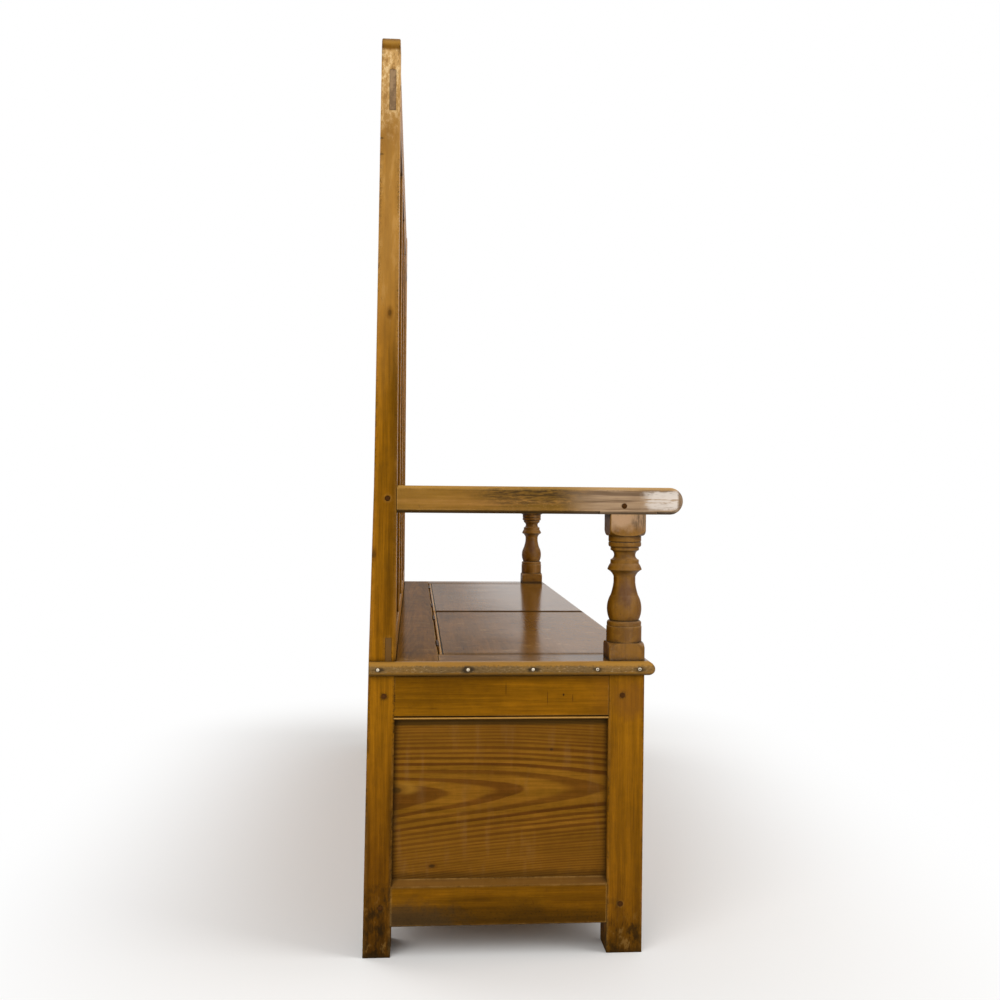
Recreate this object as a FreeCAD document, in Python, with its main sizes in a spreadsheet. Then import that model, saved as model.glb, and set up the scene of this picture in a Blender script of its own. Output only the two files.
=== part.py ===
import FreeCAD, Part
import math
import os

import Sketcher
from FreeCAD import Placement, Rotation, Vector

# A panelled box settle with a tall back, turned arm supports and two lift-up seat lids.
# The row's frame: X runs along the seat, the sitter faces -Y, +Z is up, and the floor is Z = 0.
# Depths are measured ahead of the front face of the back, towards the sitter.

DIMENSIONS = {
    # Overall
    "frame_length": 1456,
    "total_height": 1413,
    "seat_height": 456,
    "arm_height": 726,
    "arm_reach": 446,
    "arris": 1.2,
    # Rear posts: their depth behind the face of the back, from the foot up
    "rear_post_width": 77,
    "foot_depth": 47,
    "seat_depth": 41,
    "arm_depth": 35,
    "top_depth": 28,
    "foot_lean": 4.5,
    "top_round": 22,
    # Front posts
    "front_post": 56,
    "front_post_reach": 387,
    "support_tenon": 24,
    "support_tenon_height": 26,
    # Frame members of the box
    "rail": 28,
    "box_recess": 10,
    "box_tongue": 12,
    "groove": 8,
    "panel_play": 0.5,
    "foot_gap": 47,
    "bottom_rail_top": 118,
    "top_rail_height": 68,
    "rail_tenon": 26,
    "tenon_step": 6,
    "bead": 4.2,
    "quirk": 1.3,
    "box_muntin": 60,
    # Frame of the back
    "back_rail": 22,
    "back_recess": 6.5,
    "back_tongue": 9,
    "back_muntin": 77,
    "crest_drop": 25,
    "crest_height": 93,
    "crest_camber": 7,
    "crest_tenon_rise": 3,
    "crest_tenon_height": 61,
    "seat_rail_drop": 56,
    "seat_rail_rise": 38,
    "seat_rail_tenon_drop": 18,
    "seat_rail_tenon_rise": 36,
    "through_gap": 0.3,
    "through_proud": 0.4,
    # Seat
    "seat_board": 22,
    "seat_nose": 401,
    "plank_depth": 67,
    "lid_inset": 75,
    "lid_division": -39,
    "lid_gap": 1.5,
    "lid_end_gap": 2.2,
    "lid_ease": 3,
    "lid_lift": 0.4,
    "lid_bead": 5.5,
    "lid_quirk": 1.6,
    "lid_quirk_depth": 2.6,
    "batten_width": 45,
    "batten_depth": 19,
    "batten_inset": 95,
    "batten_back": 22,
    "batten_front": 30,
    "bearer": 34,
    "end_bearer": 34,
    "bearer_tongue": 12,
    "ledger": 20,
    # Applied nosing at the ends of the seat
    "nosing": 13,
    "nosing_back": 40.4,
    "nail_behind": 26.5,
    "nail_first": 44,
    "nail_last": 20,
    "nail_support": 10,
    "nail_head": 2.9,
    "nail_head_height": 1.4,
    "nail_proud": 0.5,
    "nail_shank": 1.3,
    "nail_depth": 16,
    # Arms
    "arm_width": 60,
    "arm_thickness": 42,
    "arm_chamfer": 5,
    "arm_stop": 17,
    "arm_tenon": 24,
    "arm_tenon_thickness": 14,
    "arm_tenon_inset": 24,
    # Pegs
    "peg": 4,
    "peg_fit": 0.05,
    "peg_proud": 0.4,
    "peg_length": 34,
    "arm_peg_length": 48,
    "back_peg_length": 20,
    "arm_peg_back": 14,
    "arm_peg_drop": 20,
    "support_peg_rise": 13,
    "post_peg_in": 16.5,
    "front_peg_in": 21.5,
    "top_peg_drop": 31.5,
    "bottom_peg_rise": 29.5,
    "face_peg_in": 14,
    "face_peg_shift": 14,
    # Box floor
    "floor_board": 15,
    "floor_board_width": 112,
    "floor_joint": 1,
    "floor_ledger": 16,
    "floor_margin": 2,
    # Hinges
    "hinge_length": 64,
    "hinge_inset": 88,
    "knuckle": 2.5,
    "knuckle_room": 0.35,
    "knuckle_gap": 0.3,
    "pin": 1.1,
    "pin_fit": 0.05,
    "axis_drop": 1,
    "leaf": 1.4,
    "leaf_height": 17,
    "screw_head": 2.4,
    "screw_shank": 1.2,
    "screw_length": 12,
    "screw_spread": 21,
    "screw_drop": 10,
    "screw_fit": 0.04,
    # Turned part of the front posts, from the seat up: heights
    "pommel": 27.3,
    "pommel_round": 10.5,
    "collar_height": 24.2,
    "collar_step": 2.3,
    "cushion_land": 2.2,
    "cushion_round": 4.9,
    "vase_rise": 15.1,
    "vase_fall": 24.7,
    "throat_height": 19.4,
    "neck_height": 9.6,
    "flare_height": 10.8,
    "flare_land": 1.2,
    "slope_height": 8.9,
    "fillet_height": 5.6,
    "upper_throat": 15.2,
    "ring_height": 4.8,
    "crown_round": 3.6,
    "crown_bead": 4.7,
    "crown_height": 9.2,
    # Turned part of the front posts: radii
    "scribe": 1.1,
    "collar_radius": 27.7,
    "cushion_radius": 27.1,
    "vase_foot_radius": 23,
    "vase_radius": 27.1,
    "shoulder_radius": 21.6,
    "neck_radius": 17.2,
    "flare_radius": 26.9,
    "fillet_radius": 22.4,
    "upper_throat_radius": 16.8,
    "crown_radius": 25.8,
}

doc = FreeCAD.newDocument("settle")
sheet = doc.addObject("Spreadsheet::Sheet", "dims")
for row, (alias, number) in enumerate(DIMENSIONS.items(), start=1):
    sheet.set(f"A{row}", alias)
    sheet.set(f"B{row}", str(number))
    sheet.setAlias(f"B{row}", alias)
doc.recompute()


class Size:
    """A length written as a formula of the sheet's cells, so that each piece follows the sheet."""

    def __init__(self, formula):
        self.formula = str(formula)

    def __add__(self, other):
        return Size(f"({self.formula} + {Size.text(other)})")

    def __sub__(self, other):
        return Size(f"({self.formula} - {Size.text(other)})")

    def __mul__(self, factor):
        return Size(f"({self.formula} * {Size.text(factor)})")

    def __truediv__(self, factor):
        return Size(f"({self.formula} / {Size.text(factor)})")

    def __neg__(self):
        return Size(f"(0 - {self.formula})")

    @staticmethod
    def text(length):
        return length.formula if isinstance(length, Size) else str(length)

    @property
    def number(self):
        return float(sheet.evalExpression(self.formula))


class Sheet:
    """Reads each alias of the sheet as a Size."""

    def __getattr__(self, alias):
        if alias not in DIMENSIONS:
            raise AttributeError(alias)
        return Size(f"dims.{alias}")


d = Sheet()
ZERO = Size(0)
TOUCH = 1e-6
LEFT = -1
RIGHT = 1
SIDES = {LEFT: "left", RIGHT: "right"}

# Places that many pieces share
half_length = d.frame_length / 2
back_face = (d.arm_reach - d.foot_depth) / 2


def ahead(depth):
    """Y of a place that lies this far ahead of the front face of the back."""
    return back_face - depth


def inside(side, start, end):
    """X of both ends of a piece that lies from start to end inside the outer face of a side."""
    if side == LEFT:
        return start - half_length, end - half_length
    return half_length - end, half_length - start


front_face = ahead(d.front_post_reach)
front_post_rear = ahead(d.front_post_reach - d.front_post)
seat_under = d.seat_height - d.seat_board
arm_under = d.arm_height - d.arm_thickness
plank_edge = ahead(d.plank_depth)
lid_rear = ahead(d.plank_depth + d.lid_gap)
axis_y = ahead(d.plank_depth + d.lid_gap / 2)
axis_z = d.seat_height - d.axis_drop
crest_high = d.total_height - d.crest_drop
crest_low = crest_high - d.crest_height
seat_rail_low = d.seat_height - d.seat_rail_drop
seat_rail_high = d.seat_height + d.seat_rail_rise
top_rail_low = seat_under - d.top_rail_height


# Helpers for solids

def bind(target, **formulas):
    for path, length in formulas.items():
        target.setExpression(path.replace("__", "."), Size.text(length))


def place(target, x, y, z):
    bind(target, Placement__Base__x=x, Placement__Base__y=y, Placement__Base__z=z)


def box(label, xs, ys, zs):
    """A square-edged block between two X, two Y and two Z."""
    block = doc.addObject("Part::Box", label)
    bind(block, Length=xs[1] - xs[0], Width=ys[1] - ys[0], Height=zs[1] - zs[0])
    place(block, xs[0], ys[0], zs[0])
    return block


TURN = {
    "X": Rotation(Vector(0, 1, 0), 90),
    "Y": Rotation(Vector(1, 0, 0), -90),
    "-Y": Rotation(Vector(1, 0, 0), 90),
}


def rod(label, radius, start, length, direction):
    """A cylinder from its start point along X, Y or -Y."""
    cylinder = doc.addObject("Part::Cylinder", label)
    cylinder.Placement = Placement(Vector(), TURN[direction])
    bind(cylinder, Radius=radius, Height=length)
    place(cylinder, *start)
    return cylinder


def cone(label, wide, narrow, start, length, direction):
    """A cone from its wide end along X, Y or -Y."""
    taper = doc.addObject("Part::Cone", label)
    taper.Placement = Placement(Vector(), TURN[direction])
    bind(taper, Radius1=wide, Radius2=narrow, Height=length)
    place(taper, *start)
    return taper


def joined(label, pieces):
    """One solid, or one group of solids, from several blocks."""
    fusion = doc.addObject("Part::MultiFuse", label)
    fusion.Shapes = pieces
    fusion.Refine = True
    return fusion


def hollowed(label, blank, hollows):
    """A blank with the room for every piece in hollows cut out of it."""
    tool = hollows[0] if len(hollows) == 1 else joined(label + "_hollows", hollows)
    cut = doc.addObject("Part::Cut", label)
    cut.Base = blank
    cut.Tool = tool
    cut.Refine = True
    return cut


def eased(label, block, run):
    """A block whose long edges, along X, Y or Z, are taken off by the arris."""
    doc.recompute()
    along = {"X": Vector(1, 0, 0), "Y": Vector(0, 1, 0), "Z": Vector(0, 0, 1)}[run]
    width = d.arris.number
    edges = []
    for number, edge in enumerate(block.Shape.Edges, start=1):
        direction = edge.lastVertex().Point - edge.firstVertex().Point
        if direction.cross(along).Length < TOUCH:
            edges.append((number, width, width))
    chamfer = doc.addObject("Part::Chamfer", label)
    chamfer.Base = block
    chamfer.Edges = edges
    return chamfer


def eased_box(label, xs, ys, zs, run):
    return eased(label, box(label + "_block", xs, ys, zs), run)


# Helpers for sketched solids

def pin_point(sketch, geometry, end, point):
    """Fixes a point of a sketch at its two formulas."""
    for kind, length in (("DistanceX", point[0]), ("DistanceY", point[1])):
        rule = sketch.addConstraint(Sketcher.Constraint(kind, -1, 1, geometry, end, length.number))
        sketch.setExpression(f"Constraints[{rule}]", length.formula)


def flat(point):
    return Vector(point[0].number, point[1].number, 0)


def draw_outline(sketch, corners):
    """Draws a closed outline. A corner is (x, y), or (x, y, via) where an arc through via ends."""
    geometries = []
    previous = corners[-1]
    for corner in corners:
        start = flat(previous)
        finish = flat(corner)
        if len(corner) == 3:
            curve = Part.Arc(start, flat(corner[2]), finish)
        else:
            curve = Part.LineSegment(start, finish)
        geometry = sketch.addGeometry(curve, False)
        reversed_arc = sketch.getPoint(geometry, 1).distanceToPoint(start) > TOUCH
        geometries.append((geometry, 2 if reversed_arc else 1, 1 if reversed_arc else 2))
        previous = corner
    for (geometry, start, _), (before, _, finish) in zip(geometries, geometries[-1:] + geometries[:-1]):
        sketch.addConstraint(Sketcher.Constraint("Coincident", before, finish, geometry, start))
    for (geometry, _, finish), corner in zip(geometries, corners):
        pin_point(sketch, geometry, finish, corner)
        if len(corner) == 3:
            via = sketch.addGeometry(Part.Point(flat(corner[2])), True)
            sketch.addConstraint(Sketcher.Constraint("PointOnObject", via, 1, geometry))
            pin_point(sketch, via, 1, corner[2])


def sketched_body(label, plane, corners):
    body = doc.addObject("PartDesign::Body", label)
    support = [feature for feature in body.Origin.OriginFeatures if feature.Role == plane][0]
    sketch = body.newObject("Sketcher::SketchObject", label + "_outline")
    sketch.AttachmentSupport = [(support, "")]
    sketch.MapMode = "FlatFace"
    draw_outline(sketch, corners)
    return body, sketch


def prism(label, corners, xs):
    """A side outline of (Y, Z) corners, drawn out from one X to another."""
    body, sketch = sketched_body(label, "YZ_Plane", corners)
    pad = body.newObject("PartDesign::Pad", label + "_pad")
    pad.Profile = sketch
    bind(pad, Length=xs[1] - xs[0])
    bind(body, Placement__Base__x=xs[0])
    doc.recompute()
    return body


def turned(label, corners, x, y):
    """A half section of (radius, Z) corners, turned about an upright axis."""
    body, sketch = sketched_body(label, "XZ_Plane", corners)
    spin = body.newObject("PartDesign::Revolution", label + "_turning")
    spin.Profile = sketch
    spin.ReferenceAxis = (sketch, ["V_Axis"])
    spin.Angle = 360
    place(body, x, y, ZERO)
    doc.recompute()
    return body


def upright_edges(shape):
    """Names of the edges that run mostly up and down."""
    names = []
    for number, edge in enumerate(shape.Edges, start=1):
        run = edge.lastVertex().Point - edge.firstVertex().Point
        if abs(run.z) > d.rear_post_width.number:
            names.append(f"Edge{number}")
    return names


# Pegs, kept with the holes that they need

pegs = []
holes = {}


def add_peg(members, name, start, length, direction):
    """A peg through the named members, and its hole in each of them."""
    peg = rod(f"peg_{name}", d.peg, start, length, direction)
    hole = rod(f"hole_{name}", d.peg + d.peg_fit, start, length + d.peg_fit, direction)
    pegs.append(peg)
    for member in members:
        holes.setdefault(member, []).append(hole)


def side_peg(side, members, name, depth, z, length):
    """A peg driven in from the outer face of a side."""
    xs = inside(side, -d.peg_proud, length)
    start_x = xs[0] if side == LEFT else xs[0] - d.peg_fit
    add_peg(members, name, (start_x, ahead(depth), z), xs[1] - xs[0], "X")


# Places in the rear posts

def post_front(z):
    """Depth of the front face of a rear post below the seat, where it leans back to its foot."""
    return -(d.foot_lean * (d.seat_height - z) / d.seat_height)


nosing_nails = []
nodes = []


def finish(label, blank, extra=()):
    """The finished piece of that name: the blank without the room for what fits into it."""
    hollows = list(extra) + holes.get(label, [])
    if not hollows:
        blank.Label = label
        nodes.append(blank)
        return blank
    piece = hollowed(label, blank, hollows)
    piece.Label = label
    nodes.append(piece)
    return piece


# Rear posts, one at each end, from the floor to the top of the back

def rear_post_blank(side):
    xs = inside(side, ZERO, d.rear_post_width)
    corners = [
        (back_face, d.total_height),
        (back_face, d.seat_height),
        (back_face + d.foot_lean, ZERO),
        (back_face + d.foot_depth, ZERO),
        (back_face + d.seat_depth, d.seat_height),
        (back_face + d.arm_depth, d.arm_height),
        (back_face + d.top_depth, d.total_height),
    ]
    label = f"rear_post_{SIDES[side]}_blank"
    body = prism(label, corners, xs)
    pad = body.Tip
    outer = 0 if side == LEFT else d.rear_post_width.number
    top = d.total_height.number
    rounding = body.newObject("PartDesign::Fillet", label + "_round")
    for number, edge in enumerate(pad.Shape.Edges, start=1):
        ends = (edge.firstVertex().Point, edge.lastVertex().Point)
        if all(abs(end.z - top) < TOUCH and abs(end.x - outer) < TOUCH for end in ends):
            rounding.Base = (pad, [f"Edge{number}"])
    bind(rounding, Radius=d.top_round)
    doc.recompute()
    easing = body.newObject("PartDesign::Chamfer", label + "_easing")
    easing.Base = (rounding, upright_edges(rounding.Shape))
    bind(easing, Size=d.arris)
    body.Tip = easing
    doc.recompute()
    return body


rear_blanks = {side: rear_post_blank(side) for side in SIDES}


# Front posts, each one length of wood from the floor to the arm, turned above the seat

# Shares of a member's height at which its curve is fullest, or deepest
FULL = 0.7
EARLY = 0.3
MIDDLE = 0.5
HALF_DIAGONAL = 0.71


def turned_section():
    """Half section of a front post: left large where the post stays square."""
    square = d.front_post
    corner = d.front_post * HALF_DIAGONAL
    corners = [(ZERO, ZERO), (square, ZERO)]
    z = d.seat_height + d.pommel - d.pommel_round
    corners += [(square, z), (corner, z)]
    top = z + d.pommel_round
    via = ((corner + d.collar_radius) / 2 + d.pommel_round / 5, z + d.pommel_round * FULL)
    corners.append((d.collar_radius, top, via))
    z = top + d.collar_height
    top = z + d.collar_step
    corners += [
        (d.collar_radius, z),
        (d.collar_radius - d.scribe, z + d.collar_step / 2),
        (d.cushion_radius, top),
        (d.cushion_radius, top + d.cushion_land),
    ]
    z = top + d.cushion_land
    top = z + d.cushion_round
    corners.append((d.vase_foot_radius, top, (d.cushion_radius - d.scribe, z + d.cushion_round * FULL)))
    z = top + d.vase_rise
    top = z + d.vase_fall
    corners.append((d.shoulder_radius, top, (d.vase_radius, z)))
    z = top
    top = z + d.throat_height
    via = ((d.shoulder_radius + d.neck_radius) / 2 - d.scribe / 2, z + d.throat_height / 2)
    corners.append((d.neck_radius, top, via))
    z = top + d.neck_height
    top = z + d.flare_height
    corners.append((d.neck_radius, z))
    via = (d.neck_radius * FULL + d.flare_radius * EARLY, z + d.flare_height * MIDDLE)
    corners.append((d.flare_radius, top, via))
    z = top + d.flare_land
    top = z + d.slope_height
    corners.append((d.flare_radius, z))
    via = ((d.flare_radius + d.fillet_radius) / 2 + d.scribe / 2, z + d.slope_height / 2)
    corners.append((d.fillet_radius, top, via))
    z = top + d.fillet_height
    top = z + d.upper_throat
    corners.append((d.fillet_radius, z))
    corners.append((d.fillet_radius, top, (d.upper_throat_radius, z + d.upper_throat * MIDDLE)))
    z = top + d.ring_height
    top = z + d.crown_round
    corners.append((d.fillet_radius, z))
    corners.append((d.crown_radius, top, (d.crown_radius - d.scribe, z + d.crown_round * EARLY)))
    z = top + d.crown_bead
    corners += [
        (d.crown_radius, z - d.scribe),
        (d.crown_radius - d.scribe, z),
        (d.crown_radius, z + d.scribe),
    ]
    z = z + d.crown_height
    corners.append((d.crown_radius, z))
    via = ((corner + d.crown_radius) / 2 + d.pommel_round / 10, z + d.pommel_round * EARLY)
    corners.append((corner, z + d.pommel_round, via))
    corners += [(square, z + d.pommel_round), (square, arm_under), (ZERO, arm_under)]
    return corners


def front_post_blank(side):
    label = f"front_post_{SIDES[side]}"
    xs = inside(side, ZERO, d.front_post)
    centre_x = (xs[0] + xs[1]) / 2
    centre_y = (front_face + front_post_rear) / 2
    bar = eased_box(label + "_bar", xs, (front_face, front_post_rear), (ZERO, arm_under), "Z")
    turning = turned(label + "_turned", turned_section(), centre_x, centre_y)
    shaped = doc.addObject("Part::MultiCommon", label + "_shaped")
    shaped.Shapes = [bar, turning]
    tenon = support_tenon(side)
    return joined(label + "_blank", [shaped, tenon])


def support_tenon(side):
    """The square tenon on top of a front post, under the arm."""
    label = f"support_tenon_{SIDES[side]}"
    existing = doc.getObject(label)
    if existing:
        return existing
    xs = inside(side, ZERO, d.front_post)
    centre_x = (xs[0] + xs[1]) / 2
    centre_y = (front_face + front_post_rear) / 2
    reach = d.support_tenon / 2
    return box(
        label,
        (centre_x - reach, centre_x + reach),
        (centre_y - reach, centre_y + reach),
        (arm_under, arm_under + d.support_tenon_height),
    )


front_blanks = {side: front_post_blank(side) for side in SIDES}


# Panelled frames. Each is a row of panels between uprights, in grooves of the frame around it.

def tongue_span(face, recess, tongue):
    return face + recess, face + recess + tongue


def panel_row(prefix, count, opening, zs, face, thickness, recess, tongue, width, numbered=True):
    """The muntins and panels of a row of equal openings, and the muntins' mortise rooms."""
    bay = (opening[1] - opening[0] - width * (count - 1)) / count
    tongue_ys = tongue_span(face, recess, tongue)
    held = d.groove - d.panel_play
    for place_number in range(count):
        left = opening[0] + (bay + width) * place_number
        panel_xs = (left - held, left + bay + held)
        label = f"{prefix}_panel_{place_number + 1}"
        finish(label, box(label + "_board", panel_xs, tongue_ys, (zs[0] - held, zs[1] + held)))
    for place_number in range(count - 1):
        left = opening[0] + bay + (bay + width) * place_number
        xs = (left, left + width)
        label = f"{prefix}_muntin_{place_number + 1}" if numbered else f"{prefix}_muntin"
        stub_zs = (zs[0] - d.groove, zs[1] + d.groove)
        stile = eased_box(label + "_stile", xs, (face, face + thickness), zs, "Z")
        stub = box(label + "_stub", xs, tongue_ys, stub_zs)
        blank = joined(label + "_blank", [stile, stub])
        grooves = [
            box(label + "_groove_a", (left, left + d.groove), tongue_ys, stub_zs),
            box(label + "_groove_b", (left + width - d.groove, left + width), tongue_ys, stub_zs),
        ]
        finish(label, blank, grooves)


# Frame of the back: crest rail, seat rail and bottom rail between the rear posts

back_opening = (d.rear_post_width - half_length, half_length - d.rear_post_width)
back_ys = (back_face, back_face + d.back_rail)
back_tongue_ys = tongue_span(back_face, d.back_recess, d.back_tongue)
rear_hollows = {LEFT: [], RIGHT: []}


def back_rail(label, blank, tenon_zs, tenon_xs, groove_zs, gap):
    """A long rail of the back with a tenon at each end and grooves for the panels."""
    pieces = [blank]
    for side in SIDES:
        xs = tenon_xs(side)
        pieces.append(box(f"{label}_tenon_{SIDES[side]}", xs, back_tongue_ys, tenon_zs))
        room_ys = (back_tongue_ys[0] - gap, back_tongue_ys[1] + gap)
        room_zs = (tenon_zs[0] - gap, tenon_zs[1] + gap)
        rear_hollows[side].append(box(f"{label}_mortise_{SIDES[side]}", xs, room_ys, room_zs))
    grooves = []
    groove_xs = (back_opening[0] - d.groove, back_opening[1] + d.groove)
    for number, zs in enumerate(groove_zs):
        grooves.append(box(f"{label}_groove_{number}", groove_xs, back_tongue_ys, zs))
    finish(label, joined(label + "_blank", pieces), grooves)


def through(side):
    return inside(side, -d.through_proud, d.rear_post_width)


def flush(side):
    return inside(side, ZERO, d.rear_post_width)


def blind(side):
    return inside(side, d.rear_post_width - d.rail_tenon, d.rear_post_width)


crest_tenon_low = crest_low + d.crest_tenon_rise
crest_tenon = (crest_tenon_low, crest_tenon_low + d.crest_tenon_height)
seat_rail_tenon = (d.seat_height - d.seat_rail_tenon_drop, d.seat_height + d.seat_rail_tenon_rise)
bottom_tenon = (d.foot_gap + d.tenon_step, d.bottom_rail_top - d.groove)

for side, name in SIDES.items():
    post = f"rear_post_{name}"
    peg_x = inside(side, d.rear_post_width / 2, d.rear_post_width)[0 if side == LEFT else 1]
    crest_pegs = (crest_tenon[0] + d.face_peg_shift, crest_tenon[1] - d.face_peg_shift)
    for number, z in enumerate(crest_pegs):
        start = (peg_x, back_face - d.peg_proud, z)
        add_peg((post, "crest_rail"), f"crest_{name}_{number}", start, d.back_peg_length, "Y")
    start = (peg_x, back_face - d.peg_proud, seat_rail_tenon[1] - d.face_peg_shift)
    add_peg((post, "back_seat_rail"), f"seat_rail_{name}", start, d.back_peg_length, "Y")

crest_shape = prism(
    "crest_rail_board",
    [
        (back_ys[0], crest_low),
        (back_ys[0], crest_high - d.crest_camber),
        (back_ys[1], crest_high - d.crest_camber, ((back_ys[0] + back_ys[1]) / 2, crest_high)),
        (back_ys[1], crest_low),
    ],
    back_opening,
)
back_rail(
    "crest_rail", crest_shape, crest_tenon, through,
    [(crest_low, crest_low + d.groove)], d.through_gap,
)

seat_rail_board = eased_box(
    "back_seat_rail_board", back_opening, back_ys, (seat_rail_low, seat_rail_high), "X"
)
bearer_room_zs = (seat_under - d.bearer, seat_under)
back_rail(
    "back_seat_rail", seat_rail_board, seat_rail_tenon, flush,
    [
        (seat_rail_low, seat_rail_low + d.groove),
        (seat_rail_high - d.groove, seat_rail_high),
    ],
    d.through_gap,
)

bottom_board = eased_box(
    "back_bottom_rail_board", back_opening, back_ys, (d.foot_gap, d.bottom_rail_top), "X"
)
back_rail(
    "back_bottom_rail", bottom_board, bottom_tenon, blind,
    [(d.bottom_rail_top - d.groove, d.bottom_rail_top)], ZERO,
)

BACK_BAYS = 4
upper_zs = (seat_rail_high, crest_low)
lower_zs = (d.bottom_rail_top, seat_rail_low)
panel_row(
    "back", BACK_BAYS, back_opening, upper_zs,
    back_face, d.back_rail, d.back_recess, d.back_tongue, d.back_muntin,
)
panel_row(
    "rear_base", 2, back_opening, lower_zs,
    back_face, d.back_rail, d.back_recess, d.back_tongue, d.back_muntin, numbered=False,
)

for side in SIDES:
    name = SIDES[side]
    groove_xs = inside(side, d.rear_post_width - d.groove, d.rear_post_width)
    for number, zs in enumerate((lower_zs, upper_zs)):
        tall = (zs[0] - d.groove, zs[1] + d.groove)
        rear_hollows[side].append(box(f"rear_groove_{name}_{number}", groove_xs, back_tongue_ys, tall))


# Moulded rails of the box: a chamfer on the bottom rails, a bead and a quirk on the top rails

box_zs = (d.bottom_rail_top, top_rail_low)
top_rail_zs = (top_rail_low, seat_under)
bottom_rail_zs = (d.foot_gap, d.bottom_rail_top)
top_tenon_zs = (top_rail_low + d.groove, seat_under - d.tenon_step)


def tilted_hollow(label, run, start, length, reach):
    """A bar turned by 45 degrees that takes a chamfer of this reach off an edge along X or Y."""
    size = reach * math.sqrt(2)
    bar = doc.addObject("Part::Box", label)
    if run == "Y":
        bar.Placement = Placement(Vector(), Rotation(Vector(0, 1, 0), 45))
        bind(bar, Length=size, Width=length, Height=size)
    else:
        bar.Placement = Placement(Vector(), Rotation(Vector(1, 0, 0), -45))
        bind(bar, Length=length, Width=size, Height=size)
    place(bar, *start)
    return bar


def end_chamfer(label, x, rear, reach):
    """The chamfer across the top of a seat board's end at x."""
    nose = ahead(d.seat_nose)
    return tilted_hollow(label, "Y", (x - reach, nose, d.seat_height), rear - nose, reach)


# End frames: a top rail, a bottom rail and one panel between the posts of each end

front_hollows = {LEFT: [], RIGHT: []}

for side, name in SIDES.items():
    rail_xs = inside(side, ZERO, d.rail)
    tongue_xs = inside(side, d.box_recess, d.box_recess + d.box_tongue)
    rear_end = ahead(-d.foot_lean - d.arris)
    outer_face = rail_xs[0] if side == LEFT else rail_xs[1]
    top_label = f"end_top_rail_{name}"
    bottom_label = f"end_bottom_rail_{name}"
    top_peg = seat_under - d.top_peg_drop
    bottom_peg = d.foot_gap + d.bottom_peg_rise
    rear_post = f"rear_post_{name}"
    front_post = f"front_post_{name}"
    front_peg_depth = d.front_post_reach - d.front_post + d.front_peg_in
    for rail_label, z in ((top_label, top_peg), (bottom_label, bottom_peg)):
        rear_depth = post_front(z) - d.post_peg_in
        side_peg(side, (rail_label, rear_post), rail_label + "_rear", rear_depth, z, d.peg_length)
        side_peg(side, (rail_label, front_post), rail_label + "_front", front_peg_depth, z, d.peg_length)

    tenon_ys = (front_post_rear - d.rail_tenon, ahead(-d.rail_tenon))
    for rail_label, zs, tenon_zs in (
        (top_label, top_rail_zs, top_tenon_zs),
        (bottom_label, bottom_rail_zs, bottom_tenon),
    ):
        board = eased_box(rail_label + "_board", rail_xs, (front_post_rear, rear_end), zs, "Y")
        fitted = hollowed(rail_label + "_fitted", board, [rear_blanks[side]])
        tenon = box(rail_label + "_tenon", tongue_xs, tenon_ys, tenon_zs)
        rear_hollows[side].append(tenon)
        front_hollows[side].append(tenon)
        groove_ys = (front_post_rear, rear_end)
        if rail_label == top_label:
            groove_zs = (zs[0], zs[0] + d.groove)
            line_xs = inside(side, -d.quirk, d.quirk)
            line_zs = (zs[0] + d.bead, zs[0] + d.bead + d.quirk)
            details = [box(rail_label + "_quirk", line_xs, groove_ys, line_zs)]
        else:
            groove_zs = (zs[1] - d.groove, zs[1])
            corner_x = outer_face - d.box_recess
            details = [
                tilted_hollow(
                    rail_label + "_chamfer", "Y",
                    (corner_x, front_post_rear, zs[1]), rear_end - front_post_rear, d.box_recess,
                )
            ]
        details.append(box(rail_label + "_groove", tongue_xs, groove_ys, groove_zs))
        finish(rail_label, joined(rail_label + "_blank", [fitted, tenon]), details)

    panel_label = f"end_panel_{name}"
    held = d.groove - d.panel_play
    panel_ys = (front_post_rear - held, ahead(-d.foot_lean - held))
    panel_zs = (box_zs[0] - held, box_zs[1] + held)
    finish(panel_label, box(panel_label + "_board", tongue_xs, panel_ys, panel_zs))
    room_zs = (box_zs[0] - d.groove, box_zs[1] + d.groove)
    room = box(
        panel_label + "_room", tongue_xs,
        (front_post_rear - d.groove, ahead(-d.foot_lean - d.groove)), room_zs,
    )
    rear_hollows[side].append(room)
    front_hollows[side].append(room)


# Front frame: a top rail, a bottom rail, three muntins and four panels between the front posts

FRONT_BAYS = 4
front_opening = (d.front_post - half_length, half_length - d.front_post)
front_ys = (front_face, front_face + d.rail)
front_tongue_ys = tongue_span(front_face, d.box_recess, d.box_tongue)
bearer_xs = (d.lid_division - d.bearer / 2, d.lid_division + d.bearer / 2)
bearer_tongue_zs = (seat_under - d.bearer / 2, seat_under - d.tenon_step)

for side, name in SIDES.items():
    peg_x = inside(side, d.front_post - d.face_peg_in, d.front_post)[0 if side == LEFT else 1]
    for rail_label, z in (
        ("front_top_rail", seat_under - d.top_peg_drop - d.face_peg_shift),
        ("front_bottom_rail", d.foot_gap + d.bottom_peg_rise + d.face_peg_shift),
    ):
        start = (peg_x, front_face - d.peg_proud, z)
        add_peg((rail_label, f"front_post_{name}"), f"{rail_label}_{name}", start, d.peg_length, "Y")

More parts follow.
